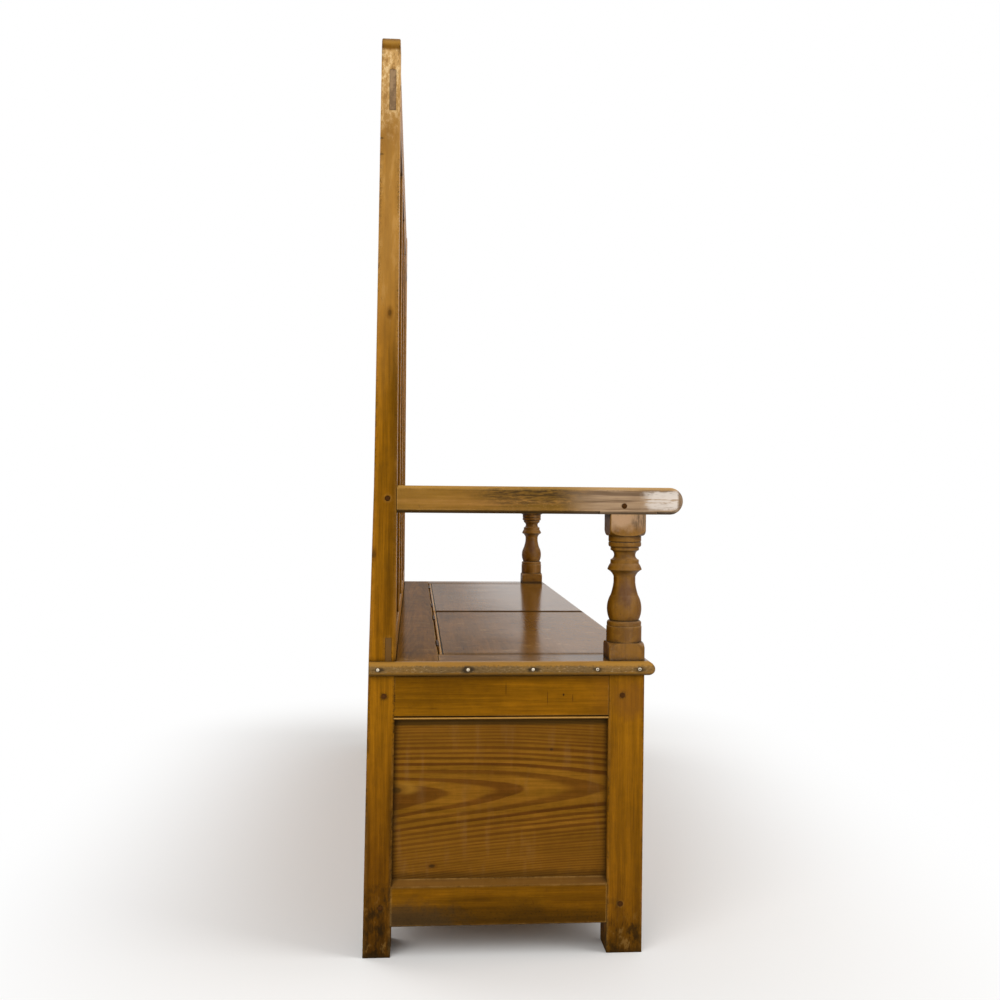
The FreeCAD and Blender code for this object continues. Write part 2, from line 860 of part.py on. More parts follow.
for rail_label, zs, tenon_zs in (
    ("front_top_rail", top_rail_zs, top_tenon_zs),
    ("front_bottom_rail", bottom_rail_zs, bottom_tenon),
):
    pieces = [eased_box(rail_label + "_board", front_opening, front_ys, zs, "X")]
    for side, name in SIDES.items():
        xs = inside(side, d.front_post - d.rail_tenon, d.front_post)
        tenon = box(f"{rail_label}_tenon_{name}", xs, front_tongue_ys, tenon_zs)
        pieces.append(tenon)
        front_hollows[side].append(tenon)
    if rail_label == "front_top_rail":
        groove_zs = (zs[0], zs[0] + d.groove)
        line_ys = (front_face - d.quirk, front_face + d.quirk)
        line_zs = (zs[0] + d.bead, zs[0] + d.bead + d.quirk)
        details = [box(rail_label + "_quirk", front_opening, line_ys, line_zs)]
        mortise_ys = (front_ys[1] - d.bearer_tongue, front_ys[1])
        details.append(box("bearer_mortise", bearer_xs, mortise_ys, bearer_tongue_zs))
    else:
        groove_zs = (zs[1] - d.groove, zs[1])
        details = [
            tilted_hollow(
                rail_label + "_chamfer", "X",
                (front_opening[0], front_face - d.box_recess, zs[1]),
                front_opening[1] - front_opening[0], d.box_recess,
            )
        ]
    details.append(box(rail_label + "_groove", front_opening, front_tongue_ys, groove_zs))
    finish(rail_label, joined(rail_label + "_blank", pieces), details)

panel_row(
    "front", FRONT_BAYS, front_opening, box_zs,
    front_face, d.rail, d.box_recess, d.box_tongue, d.box_muntin,
)

for side, name in SIDES.items():
    xs = inside(side, d.front_post - d.groove, d.front_post)
    tall = (box_zs[0] - d.groove, box_zs[1] + d.groove)
    front_hollows[side].append(box(f"front_groove_{name}", xs, front_tongue_ys, tall))


# Arms: rounded at the front, chamfered along their edges, with chamfer stops round the support

for side, name in SIDES.items():
    label = f"arm_{name}"
    xs = inside(side, ZERO, d.arm_width)
    radius = d.arm_thickness / 2
    nose = ahead(d.arm_reach)
    corners = [
        (back_face, arm_under),
        (nose + radius, arm_under),
        (nose + radius, d.arm_height, (nose, arm_under + radius)),
        (back_face, d.arm_height),
    ]
    body = prism(label + "_board", corners, xs)
    pad = body.Tip
    long_edges = []
    for number, edge in enumerate(pad.Shape.Edges, start=1):
        run = edge.lastVertex().Point - edge.firstVertex().Point
        if abs(run.y) > d.arm_thickness.number:
            long_edges.append(f"Edge{number}")
    chamfer = body.newObject("PartDesign::Chamfer", label + "_chamfers")
    chamfer.Base = (pad, long_edges)
    bind(chamfer, Size=d.arm_chamfer)
    body.Tip = chamfer
    stop_ys = (front_face - d.arm_stop, front_post_rear + d.arm_stop)
    stop = box(label + "_stop", xs, stop_ys, (arm_under, arm_under + d.arm_chamfer))
    tenon_xs = inside(side, d.arm_tenon_inset, d.arm_tenon_inset + d.arm_tenon_thickness)
    tenon_zs = (arm_under + d.tenon_step, d.arm_height - d.tenon_step)
    tenon = box(label + "_tenon", tenon_xs, (back_face, back_face + d.arm_tenon), tenon_zs)
    rear_hollows[side].append(tenon)
    rear_z = d.arm_height - d.arm_peg_drop
    front_z = arm_under + d.support_peg_rise
    front_depth = d.front_post_reach - d.front_post + d.front_peg_in
    side_peg(side, (label, f"rear_post_{name}"), label + "_rear", -d.arm_peg_back, rear_z, d.arm_peg_length)
    side_peg(side, (label, f"front_post_{name}"), label + "_front", front_depth, front_z, d.arm_peg_length)
    finish(label, joined(label + "_blank", [body, stop, tenon]), [support_tenon(side)])


# Fixed seat boards: the rear plank, and a narrow board at each end

plank_blank = eased_box(
    "seat_rear_plank_board", (-half_length, half_length), (plank_edge, back_face),
    (seat_under, d.seat_height), "X",
)


def nose_outline(rear, low):
    """Side outline of a seat board from its rear edge to its half-round front edge."""
    radius = (d.seat_height - low) / 2
    nose = ahead(d.seat_nose)
    return [
        (rear, low),
        (nose + radius, low),
        (nose + radius, d.seat_height, (nose, low + radius)),
        (rear, d.seat_height),
    ]


first_nail = d.plank_depth + d.nail_first
last_nail = d.front_post_reach - d.front_post - d.nail_last
nail_depths = {
    "post": -d.nail_behind,
    "rear": first_nail,
    "middle": (first_nail + last_nail) / 2,
    "front": last_nail,
    "support": d.front_post_reach - d.nail_support,
}

for side, name in SIDES.items():
    # Nailed nosing strip, half-round, with its front end rounded like the seat's front edge
    xs = inside(side, -d.nosing, ZERO)
    radius = d.seat_board / 2
    rear = back_face + d.nosing_back
    nose = ahead(d.seat_nose)
    side_view = [
        (rear, seat_under),
        (nose + radius, seat_under),
        (nose + radius, d.seat_height, (nose, seat_under + radius)),
        (rear, d.seat_height),
    ]
    long_strip = prism(f"end_nosing_{name}_strip", side_view, xs)
    axis_x = inside(side, radius - d.nosing, ZERO)[0 if side == LEFT else 1]
    round_bar = rod(
        f"end_nosing_{name}_round", radius, (axis_x, nose, seat_under + radius), rear - nose, "Y"
    )
    flat_xs = inside(side, radius - d.nosing, ZERO)
    flat_bar = box(f"end_nosing_{name}_flat", flat_xs, (nose, rear), (seat_under, d.seat_height))
    profile = joined(f"end_nosing_{name}_profile", [round_bar, flat_bar])
    strip = doc.addObject("Part::MultiCommon", f"end_nosing_{name}_shaped")
    strip.Shapes = [long_strip, profile]
    nail_z = seat_under + radius
    nail_members = {
        "post": f"rear_post_{name}",
        "rear": f"seat_end_board_{name}",
        "middle": f"seat_end_board_{name}",
        "front": f"seat_end_board_{name}",
        "support": f"front_post_{name}",
    }
    for key, depth in nail_depths.items():
        nail = f"nail_{name}_{key}"
        head_xs = inside(side, -d.nosing - d.nail_proud, d.nail_head_height - d.nosing - d.nail_proud)
        head = rod(nail + "_head", d.nail_head, (head_xs[0], ahead(depth), nail_z), d.nail_head_height, "X")
        shank_xs = inside(side, -d.nosing, d.nail_depth)
        length = shank_xs[1] - shank_xs[0]
        shank = rod(nail + "_shank", d.nail_shank, (shank_xs[0], ahead(depth), nail_z), length, "X")
        nosing_nails.append(joined(nail, [head, shank]))
        hole = joined(nail + "_hole", [
            rod(nail + "_head_hole", d.nail_head + d.peg_fit, (head_xs[0], ahead(depth), nail_z),
                d.nail_head_height, "X"),
            rod(nail + "_shank_hole", d.nail_shank + d.peg_fit, (shank_xs[0], ahead(depth), nail_z),
                length, "X"),
        ])
        holes.setdefault(nail_members[key], []).append(hole)
        holes.setdefault(f"end_nosing_{name}", []).append(hole)
    finish(f"end_nosing_{name}", strip)

    board_label = f"seat_end_board_{name}"
    board_xs = inside(side, ZERO, d.lid_inset - d.lid_end_gap / 2)
    board = prism(board_label + "_board", nose_outline(plank_edge, seat_under), board_xs)
    inner_x = board_xs[1] if side == LEFT else board_xs[0]
    chamfer = end_chamfer(board_label + "_chamfer", inner_x, plank_edge, d.lid_ease)
    finish(board_label, board, [front_blanks[side], chamfer])

    # Bearers under the joint between the end board and the lid
    bearer_end_xs = inside(side, d.front_post + d.lid_gap, d.front_post + d.lid_gap + d.end_bearer)
    finish(
        f"seat_end_bearer_{name}",
        eased_box(
            f"seat_end_bearer_{name}_bar", bearer_end_xs,
            (front_ys[1], ahead(d.ledger)), bearer_room_zs, "Y",
        ),
    )

# The bearer under the joint between the two lids, tongued into the front rail
bearer_bar = eased_box(
    "seat_cross_bearer_bar", bearer_xs, (front_ys[1], ahead(d.ledger)), bearer_room_zs, "Y"
)
bearer_tongue = box(
    "seat_cross_bearer_tongue", bearer_xs,
    (front_ys[1] - d.bearer_tongue, front_ys[1]), bearer_tongue_zs,
)
finish("seat_cross_bearer", joined("seat_cross_bearer_blank", [bearer_bar, bearer_tongue]))
finish(
    "seat_rear_ledger",
    eased_box(
        "seat_rear_ledger_bar",
        (d.rail - half_length, half_length - d.rail),
        (ahead(d.ledger), back_face), bearer_room_zs, "X",
    ),
)


# Floor of the box: short boards on two ledgers

floor_top = d.foot_gap + d.floor_ledger + d.floor_board
ledger_xs = (d.front_post - half_length, half_length - d.front_post)
ledger_zs = (d.foot_gap, d.foot_gap + d.floor_ledger)
ledgers = [
    box("floor_ledger_front", ledger_xs, (front_ys[1], front_ys[1] + d.ledger), ledger_zs),
    box("floor_ledger_rear", ledger_xs, (ahead(d.ledger), back_face), ledger_zs),
]
finish("floor_ledgers", joined("floor_ledgers_pair", ledgers))

floor_start = d.rail + d.floor_margin - half_length
floor_length = -(floor_start * 2)
board_count = int(floor_length.number // (d.floor_board_width + d.floor_joint).number)
board_pitch = floor_length / board_count
floor_boards = []
for number in range(board_count):
    left = floor_start + board_pitch * number
    floor_boards.append(
        box(
            f"floor_board_{number}", (left, left + board_pitch - d.floor_joint),
            (front_ys[1] + d.floor_margin, ahead(d.floor_margin)),
            (d.foot_gap + d.floor_ledger, floor_top),
        )
    )
post_rooms = []
for side, name in SIDES.items():
    xs = inside(side, ZERO, d.front_post + d.floor_margin)
    ys = (front_face, front_post_rear + d.floor_margin)
    post_rooms.append(box(f"floor_post_room_{name}", xs, ys, (ZERO, seat_under)))
finish("box_floor_boards", joined("box_floor_boards_set", floor_boards), post_rooms)


# Lids with their battens, and the butt hinges along the rear plank

lid_spans = {
    LEFT: (d.lid_inset + d.lid_end_gap / 2 - half_length, d.lid_division - d.lid_end_gap / 2),
    RIGHT: (d.lid_division + d.lid_end_gap / 2, half_length - d.lid_inset - d.lid_end_gap / 2),
}
KNUCKLES = 5
knuckle_pitch = d.hinge_length / KNUCKLES
leaf_zs = (axis_z - d.leaf_height, axis_z)
fixed_leaf_ys = (plank_edge, plank_edge + d.leaf)
moving_leaf_ys = (lid_rear - d.leaf, lid_rear)
fixed_leaves = []
pins = []
fixed_screws = []
plank_rooms = []


def screw(label, x, z, face_y, direction):
    """A countersunk screw whose head lies flush with the face of its leaf, and its hole."""
    start = (x, face_y, z)
    solids = []
    for suffix, fit in (("", ZERO), ("_hole", d.screw_fit)):
        head = cone(
            label + suffix + "_head", d.screw_head + fit, d.screw_shank + fit, start, d.leaf, direction
        )
        shank = rod(label + suffix + "_shank", d.screw_shank + fit, start, d.screw_length + fit, direction)
        solids.append(joined(label + suffix, [head, shank]))
    return solids


for side, name in SIDES.items():
    span = lid_spans[side]
    lid_label = f"seat_lid_{name}"
    radius = d.seat_board / 2 - d.lid_lift / 2
    lid_low = seat_under + d.lid_lift
    nose = ahead(d.seat_nose)
    bead = d.lid_bead / 2
    quirk_end = lid_rear - d.lid_bead - d.lid_quirk
    quirk_low = d.seat_height - d.lid_quirk_depth
    corners = [
        (lid_rear, lid_low),
        (nose + radius, lid_low),
        (nose + radius, d.seat_height, (nose, lid_low + radius)),
        (quirk_end, d.seat_height),
        (quirk_end, quirk_low),
        (lid_rear - d.lid_bead, quirk_low),
        (lid_rear - d.lid_bead, d.seat_height - bead),
        (lid_rear, d.seat_height - bead, (lid_rear - bead, d.seat_height)),
    ]
    lid_blank = prism(lid_label + "_board", corners, span)
    reaches = (d.arris, d.lid_ease) if side == LEFT else (d.lid_ease, d.arris)
    lid_rooms = [
        end_chamfer(f"{lid_label}_chamfer_{number}", x, lid_rear, reach)
        for number, (x, reach) in enumerate(zip(span, reaches))
    ]

    battens = []
    batten_ys = (front_ys[1] + d.batten_front, lid_rear - d.batten_back)
    batten_zs = (lid_low - d.batten_depth, lid_low)
    for number, left in enumerate((span[0] + d.batten_inset, span[1] - d.batten_inset - d.batten_width)):
        label = f"lid_batten_{name}_{number}"
        battens.append(eased_box(label, (left, left + d.batten_width), batten_ys, batten_zs, "Y"))
    finish(f"lid_battens_{name}", joined(f"lid_battens_{name}_pair", battens))

    moving_leaves = []
    moving_screws = []
    for number, left in enumerate((span[0] + d.hinge_inset, span[1] - d.hinge_inset - d.hinge_length)):
        label = f"hinge_{name}_{number}"
        hinge_xs = (left, left + d.hinge_length)
        barrels = {"fixed": [], "moving": []}
        clearances = {"fixed": [], "moving": []}
        for knuckle in range(KNUCKLES):
            owner = "fixed" if knuckle % 2 == 0 else "moving"
            other = "moving" if owner == "fixed" else "fixed"
            start_x = left + knuckle_pitch * knuckle
            length = knuckle_pitch - d.knuckle_gap
            start = (start_x + d.knuckle_gap / 2, axis_y, axis_z)
            barrels[owner].append(rod(f"{label}_knuckle_{knuckle}", d.knuckle, start, length, "X"))
            room_start = (start_x - d.knuckle_gap / 2, axis_y, axis_z)
            room_length = knuckle_pitch + d.knuckle_gap
            room = rod(
                f"{label}_clearance_{knuckle}", d.knuckle + d.knuckle_room, room_start, room_length, "X"
            )
            clearances[other].append(room)
        bore_start = (left - d.knuckle_gap, axis_y, axis_z)
        bore_length = d.hinge_length + d.knuckle_gap * 2
        bore = rod(label + "_bore", d.pin + d.pin_fit, bore_start, bore_length, "X")
        pins.append(rod(label + "_pin", d.pin, (left, axis_y, axis_z), d.hinge_length, "X"))
        for owner, ys, face_y, direction, leaves, screws in (
            ("fixed", fixed_leaf_ys, plank_edge, "Y", fixed_leaves, fixed_screws),
            ("moving", moving_leaf_ys, lid_rear, "-Y", moving_leaves, moving_screws),
        ):
            plate = box(f"{label}_{owner}_plate", hinge_xs, ys, leaf_zs)
            trimmed = hollowed(f"{label}_{owner}_trimmed", plate, clearances[owner])
            leaf_blank = joined(f"{label}_{owner}_blank", [trimmed] + barrels[owner])
            rooms = [bore]
            plate_room = box(f"{label}_{owner}_gain", hinge_xs, ys, (leaf_zs[0], d.seat_height))
            barrel_room = rod(
                f"{label}_{owner}_barrel_room", d.knuckle + d.knuckle_room,
                (left - d.knuckle_room, axis_y, axis_z), d.hinge_length + d.knuckle_room * 2, "X",
            )
            wood_rooms = [plate_room, barrel_room]
            for place_number in (-1, 1):
                x = left + d.hinge_length / 2 + d.screw_spread * place_number
                z = axis_z - d.screw_drop
                pieces = screw(f"{label}_{owner}_screw_{place_number + 1}", x, z, face_y, direction)
                screws.append(pieces[0])
                rooms.append(pieces[1])
                wood_rooms.append(pieces[1])
            leaves.append(hollowed(f"{label}_{owner}_leaf", leaf_blank, rooms))
            if owner == "fixed":
                plank_rooms.extend(wood_rooms)
            else:
                lid_rooms.extend(wood_rooms)
    finish(lid_label, lid_blank, lid_rooms)
    finish(f"lid_hinge_leaves_{name}", joined(f"lid_hinge_leaves_{name}_pair", moving_leaves))
    finish(f"lid_hinge_screws_{name}", joined(f"lid_hinge_screws_{name}_set", moving_screws))

finish("seat_rear_plank", plank_blank, plank_rooms)
finish("seat_hinge_leaves", joined("seat_hinge_leaves_set", fixed_leaves))
finish("hinge_pins", joined("hinge_pins_set", pins))
finish("seat_hinge_screws", joined("seat_hinge_screws_set", fixed_screws))


# Posts, with the mortises, grooves and holes for all that joins them

for side, name in SIDES.items():
    finish(f"rear_post_{name}", rear_blanks[side], rear_hollows[side])
    finish(f"front_post_{name}", front_blanks[side], front_hollows[side])

finish("joint_pegs", joined("joint_pegs_set", pegs))
finish("nosing_nails", joined("nosing_nails_set", nosing_nails))


# Check every object, then write each piece to its own file

doc.recompute()
for item in doc.Objects:
    if {"Invalid", "Error"} & set(item.State):
        raise RuntimeError(f"{item.Label} failed: {item.State}")
for node in nodes:
    if node.Shape.isNull() or not node.Shape.isValid() or not node.Shape.Solids:
        raise RuntimeError(f"{node.Label} has no valid solid")

os.makedirs("parts", exist_ok=True)
for node in nodes:
    node.Shape.exportStep(os.path.join("parts", node.Label + ".step"))
print(len(nodes), "nodes,", sum(len(node.Shape.Solids) for node in nodes), "solids")
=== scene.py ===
import math
import random

import bpy
from bpy.props import FloatProperty, FloatVectorProperty, PointerProperty
from mathutils import Matrix, Vector


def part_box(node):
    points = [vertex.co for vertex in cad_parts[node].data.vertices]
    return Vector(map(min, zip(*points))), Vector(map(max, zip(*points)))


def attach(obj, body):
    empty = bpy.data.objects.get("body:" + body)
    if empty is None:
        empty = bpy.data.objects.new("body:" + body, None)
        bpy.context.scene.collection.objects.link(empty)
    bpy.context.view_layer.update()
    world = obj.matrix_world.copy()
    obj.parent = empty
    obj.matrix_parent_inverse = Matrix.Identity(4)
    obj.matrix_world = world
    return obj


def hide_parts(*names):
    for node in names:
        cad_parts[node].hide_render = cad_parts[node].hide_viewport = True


bl_info = {
    "name": "Settle bench",
    "version": (1, 0, 0),
    "blender": (4, 5, 0),
    "location": "3D View > Sidebar > Settle",
    "description": "Old waxed pine, oak pegs and iron for a panelled settle with two lift-up seat lids",
    "category": "Object",
}

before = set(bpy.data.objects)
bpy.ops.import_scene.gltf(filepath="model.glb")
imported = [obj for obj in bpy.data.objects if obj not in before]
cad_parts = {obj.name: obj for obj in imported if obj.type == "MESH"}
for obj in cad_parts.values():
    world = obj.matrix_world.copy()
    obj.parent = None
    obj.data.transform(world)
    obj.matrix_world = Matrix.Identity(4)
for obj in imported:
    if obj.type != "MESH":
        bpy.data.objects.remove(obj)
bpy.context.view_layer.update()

# The bench's own places, in metres: the sitter faces -Y and the near end is at -X
SEAT_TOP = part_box("seat_lid_left")[1].z
POST_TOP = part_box("rear_post_left")[1].z
BACK_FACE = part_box("seat_rear_plank")[1].y
POST_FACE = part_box("rear_post_right")[1].x
NOSING_LOW, NOSING_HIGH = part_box("end_nosing_left")
ARM_LOW, ARM_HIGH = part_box("arm_left")
SIDES = {"left": -1, "right": 1}

MM = 0.001
AXES = "XYZ"

# A reach so long that an oval covers the whole bench along that axis
ANYWHERE = 9.0


def linear(red, green, blue):
    """Scene-linear colour of an 8-bit display colour."""
    shares = [level / 255 for level in (red, green, blue)]
    return [s / 12.92 if s <= 0.04045 else ((s + 0.055) / 1.055) ** 2.4 for s in shares]


def rgba(colour):
    return (*colour[:3], 1.0)


# Properties

def colour_of(name, description, *display):
    return FloatVectorProperty(
        name=name, description=description, subtype="COLOR", size=3,
        default=linear(*display), min=0.0, max=1.0,
    )


def share_of(name, description, default, high=1.0):
    return FloatProperty(
        name=name, description=description, subtype="FACTOR", default=default, min=0.0, max=high
    )


def length_of(name, description, default):
    return FloatProperty(
        name=name, description=description, subtype="DISTANCE", unit="LENGTH", default=default, min=0.0
    )


class SettleColours(bpy.types.PropertyGroup):
    """Colours of the bench's woods and metals."""

    frame_early: colour_of("Frame, pale rings", "Honey wood of posts and rails", 144, 94, 6)
    frame_late: colour_of("Frame, dark rings", "Dark rings of posts and rails", 102, 57, 0)
    panel_early: colour_of("Panel, pale rings", "Orange wood of the panels", 130, 86, 18)
    panel_late: colour_of("Panel, dark rings", "Brown rings of the panels", 92, 53, 8)
    seat_early: colour_of("Seat, pale rings", "Brown wood of the seat boards", 128, 87, 26)
    seat_late: colour_of("Seat, dark rings", "Dark rings of the seat boards", 100, 64, 14)
    arm_early: colour_of("Arms, pale rings", "Wood of the arms", 150, 108, 40)
    arm_late: colour_of("Arms, dark rings", "Dark rings of the arms", 96, 62, 18)
    turned_early: colour_of("Turned posts, pale rings", "Wood of the turned posts", 136, 93, 26)
    turned_late: colour_of("Turned posts, dark rings", "Dark rings of the turned posts", 96, 60, 10)
    inner_early: colour_of("Inside, pale rings", "Bare wood inside the box", 176, 138, 92)
    inner_late: colour_of("Inside, dark rings", "Dark rings of the bare wood", 138, 96, 54)
    # Grime is also the colour of the painted shade in corners, grooves and on faces that look down
    grime: colour_of("Grime", "Dirt and old wax in corners and on the feet", 34, 24, 8)
    worn: colour_of("Worn wood", "Wood where the finish is rubbed away", 200, 154, 84)
    dust: colour_of("Dust", "Pale dust and dried wax on ledges", 170, 130, 86)
    peg: colour_of("Pegs", "Dark oak pegs", 84, 50, 16)
    iron: colour_of("Iron", "Old iron of nails and hinges", 74, 66, 58)
    rust: colour_of("Rust", "Brown bloom on the iron", 98, 58, 34)
    hinge: colour_of("Hinges", "Old wax and rust on the hinges", 66, 42, 18)


class SettleSurface(bpy.types.PropertyGroup):
    """Sizes and strengths of the grain, wear and dirt."""

    ring_width: length_of("Ring width", "Width of one year's growth near the heart", 0.0062)
    edge_radius: length_of("Worn edge", "How round the edges are worn", 0.0016)
    # The crevice reach and the dirt share also set how far and how dark the shade painted into corners is
    crevice: length_of("Crevice reach", "How far dirt reaches out of a corner", 0.011)
    wear: share_of("Wear", "How much the edges are rubbed pale", 0.45)
    dirt: share_of("Dirt", "How dark the corners and feet are", 0.85)
    grain_height: length_of("Grain height", "How far the dark rings stand proud", 0.00012)


class SettleStage(bpy.types.PropertyGroup):
    """The floor, the lamps and the camera."""

    floor: colour_of("Floor", "Plain pale floor", 244, 243, 241)
    ambient: share_of("Ambient", "Soft light from all round", 0.56, 2.0)
    key: FloatProperty(name="Key lamp", description="Lamp ahead of the seat", default=112.0, min=0.0)
    fill: FloatProperty(name="Fill lamp", description="Lamp by the near end", default=70.0, min=0.0)
    back: FloatProperty(name="Back lamp", description="Lamp behind the back", default=66.0, min=0.0)
    lens: FloatProperty(name="Lens", description="Focal length in millimetres", default=39.84)


# Nodes

class Wiring:
    """Puts nodes into one tree. Each input gets a plain value or another node's socket."""

    def __init__(self, tree):
        self.tree = tree

    def feed(self, socket, value):
        if isinstance(value, bpy.types.NodeSocket):
            self.tree.links.new(value, socket)
        else:
            socket.default_value = value

    def node(self, kind, feeds=None, **settings):
        made = self.tree.nodes.new(kind)
        for name, value in settings.items():
            setattr(made, name, value)
        for key, value in (feeds or {}).items():
            self.feed(made.inputs[key], value)
        return made

    def math(self, operation, *values, clamp=False):
        made = self.node("ShaderNodeMath", operation=operation, use_clamp=clamp)
        for socket, value in zip(made.inputs, values):
            self.feed(socket, value)
        return made.outputs[0]

    def vector(self, operation, *values):
        made = self.node("ShaderNodeVectorMath", operation=operation)
        for socket, value in zip(made.inputs, values):
            self.feed(socket, value)
        return made.outputs["Value" if operation in ("LENGTH", "DOT_PRODUCT") else "Vector"]

    def split(self, vector):
        return self.node("ShaderNodeSeparateXYZ", {0: vector}).outputs

    def join(self, x, y, z):
        return self.node("ShaderNodeCombineXYZ", {0: x, 1: y, 2: z}).outputs[0]

    def blend(self, share, first, second, mode="MIX"):
        made = self.node("ShaderNodeMix", data_type="RGBA", blend_type=mode)
        for index, value in ((0, share), (6, first), (7, second)):
            self.feed(made.inputs[index], value)
        return made.outputs[2]

    def step(self, value, low, high, start=0.0, end=1.0):
        """A smooth rise, or fall, from start to end while value goes from low to high."""
        made = self.node("ShaderNodeMapRange", interpolation_type="SMOOTHSTEP")
        for index, given in enumerate((value, low, high, start, end)):
            self.feed(made.inputs[index], given)
        return made.outputs[0]

    def noise(self, place, scale=1.0, detail=2.0, roughness=0.5, output="Fac"):
        """Noise with one scale, or with a scale for each axis."""
        if isinstance(scale, tuple):
            place, scale = self.vector("MULTIPLY", place, scale), 1.0
        feeds = {"Vector": place, "Scale": scale, "Detail": detail, "Roughness": roughness}
        return self.node("ShaderNodeTexNoise", feeds).outputs[output]

    def waver(self, value, noise, reach):
        """Moves a value up and down with a noise."""
        return self.math("MULTIPLY_ADD", self.math("SUBTRACT", noise, 0.5), reach, value)

    def distance(self, value, middle):
        """How far a value lies from a middle value, to either side."""
        return self.math("ABSOLUTE", self.math("SUBTRACT", value, middle))

    def place(self):
        """Where a point lies, in the piece's own coordinates."""
        return self.node("ShaderNodeTexCoord").outputs["Object"]

    def facing(self, axis, world=False):
        """How far a face looks along X, Y or Z, of the piece itself or of the world."""
        kind = "ShaderNodeNewGeometry" if world else "ShaderNodeTexCoord"
        return self.split(self.node(kind).outputs["Normal"])[AXES.index(axis)]

    def bumps(self, height, strength, depth, edge_radius):
        """The normal of a surface with a height laid on it and with rounded edges."""
        rounded = self.node("ShaderNodeBevel", {"Radius": edge_radius}, samples=4).outputs[0]
        feeds = {"Strength": strength, "Distance": depth, "Height": height, "Normal": rounded}
        return self.node("ShaderNodeBump", feeds).outputs[0]

    def group(self, tree, **feeds):
        """Adds a node group. Its inputs are given as words, such as ring_width for Ring width."""
        made = self.node("ShaderNodeGroup", node_tree=tree)
        for name, value in feeds.items():
            self.feed(made.inputs[name.replace("_", " ").capitalize()], value)
        return made.outputs


def fresh_wiring(data):
    """Empties the nodes of a material or a world, and gives its wiring."""
    data.use_nodes = True
    data.node_tree.nodes.clear()
    return Wiring(data.node_tree)


SOCKETS = {"value": "NodeSocketFloat", "vector": "NodeSocketVector", "colour": "NodeSocketColor"}


def effect(name, inputs, outputs):
    """A new shader node group with named sockets, and its wiring, inputs and output node."""
    tree = bpy.data.node_groups.new(name, "ShaderNodeTree")
    for label, (kind, default) in inputs.items():
        socket = tree.interface.new_socket(label, in_out="INPUT", socket_type=SOCKETS[kind])
        socket.default_value = default
    for label, kind in outputs.items():
        tree.interface.new_socket(label, in_out="OUTPUT", socket_type=SOCKETS[kind])
    wires = Wiring(tree)
    return tree, wires, wires.node("NodeGroupInput").outputs, wires.node("NodeGroupOutput").inputs


def made_once(make):
    """Makes a node group on its first use, named after the function that makes it."""
    name = make.__name__.replace("_", " ").capitalize()

    def ready():
        return bpy.data.node_groups.get(name) or make(name)

    return ready


@made_once
def growth_rings(name):
    """Yearly rings round the heart of the tree, cut by the faces of a board."""
    tree, wires, given, put = effect(
        name,
        {
            "Place": ("vector", (0, 0, 0)),
            "Seed": ("value", 0.0),
            "Heart across": ("value", 0.0),
            "Heart depth": ("value", 0.06),
            "Ring width": ("value", 0.005),
            "Crowding": ("value", 14.0),
            "Taper": ("value", 0.02),
            "Bow": ("value", 0.0),
            "Start": ("value", 0.0),
            "Wander": ("value", 0.012),
        },
        {"Late wood": "value"},
    )
    away = wires.math("MULTIPLY", given["Seed"], 3.7)
    place = given["Place"]
    drift = wires.vector("MULTIPLY", place, (2.6, 7.0, 7.0))
    drift = wires.vector("ADD", drift, wires.join(away, away, 0.0))
    pull = wires.noise(drift, 1.0, 2.0, 0.45, "Color")
    pull = wires.vector("SCALE", wires.vector("SUBTRACT", pull, (0.5, 0.5, 0.5)))
    wires.feed(pull.node.inputs["Scale"], given["Wander"])
    bent = wires.split(wires.vector("ADD", place, pull))
    along = wires.math("ADD", bent[0], 0.1)
    bow = wires.math("MULTIPLY", wires.math("MULTIPLY", along, along), given["Bow"])
    across = wires.math("SUBTRACT", bent[1], wires.math("ADD", given["Heart across"], bow))
    depth = wires.math("SUBTRACT", bent[2], given["Heart depth"])
    radius = wires.vector("LENGTH", wires.join(0.0, across, depth))
    radius = wires.math("MULTIPLY_ADD", bent[0], given["Taper"], radius)
    shiver = wires.noise(place, (9.0, 60.0, 60.0), 2.0)
    radius = wires.waver(radius, shiver, 0.0014)
    years = wires.math("MULTIPLY", wires.math("MULTIPLY", radius, radius), given["Crowding"])
    years = wires.math("DIVIDE", wires.math("ADD", years, radius), given["Ring width"])
    uneven = wires.noise(wires.join(wires.math("MULTIPLY", radius, 70.0), away, 0.0), 1.0, 1.0)
    years = wires.math("ADD", wires.math("MULTIPLY_ADD", uneven, 1.3, years), given["Start"])
    part = wires.math("FRACT", years)
    ring = wires.math("FLOOR", years)
    chance = wires.node("ShaderNodeTexWhiteNoise", {"Vector": wires.join(ring, away, 0.0)}).outputs["Value"]
    rise = wires.step(part, 0.36, 0.6)
    fall = wires.step(part, 0.9, 1.0, 1.0, 0.0)
    late = wires.math("MULTIPLY", rise, fall)
    late = wires.math("MULTIPLY", late, wires.math("MULTIPLY_ADD", chance, 0.4, 0.6))
    wires.feed(put["Late wood"], late)
    return tree


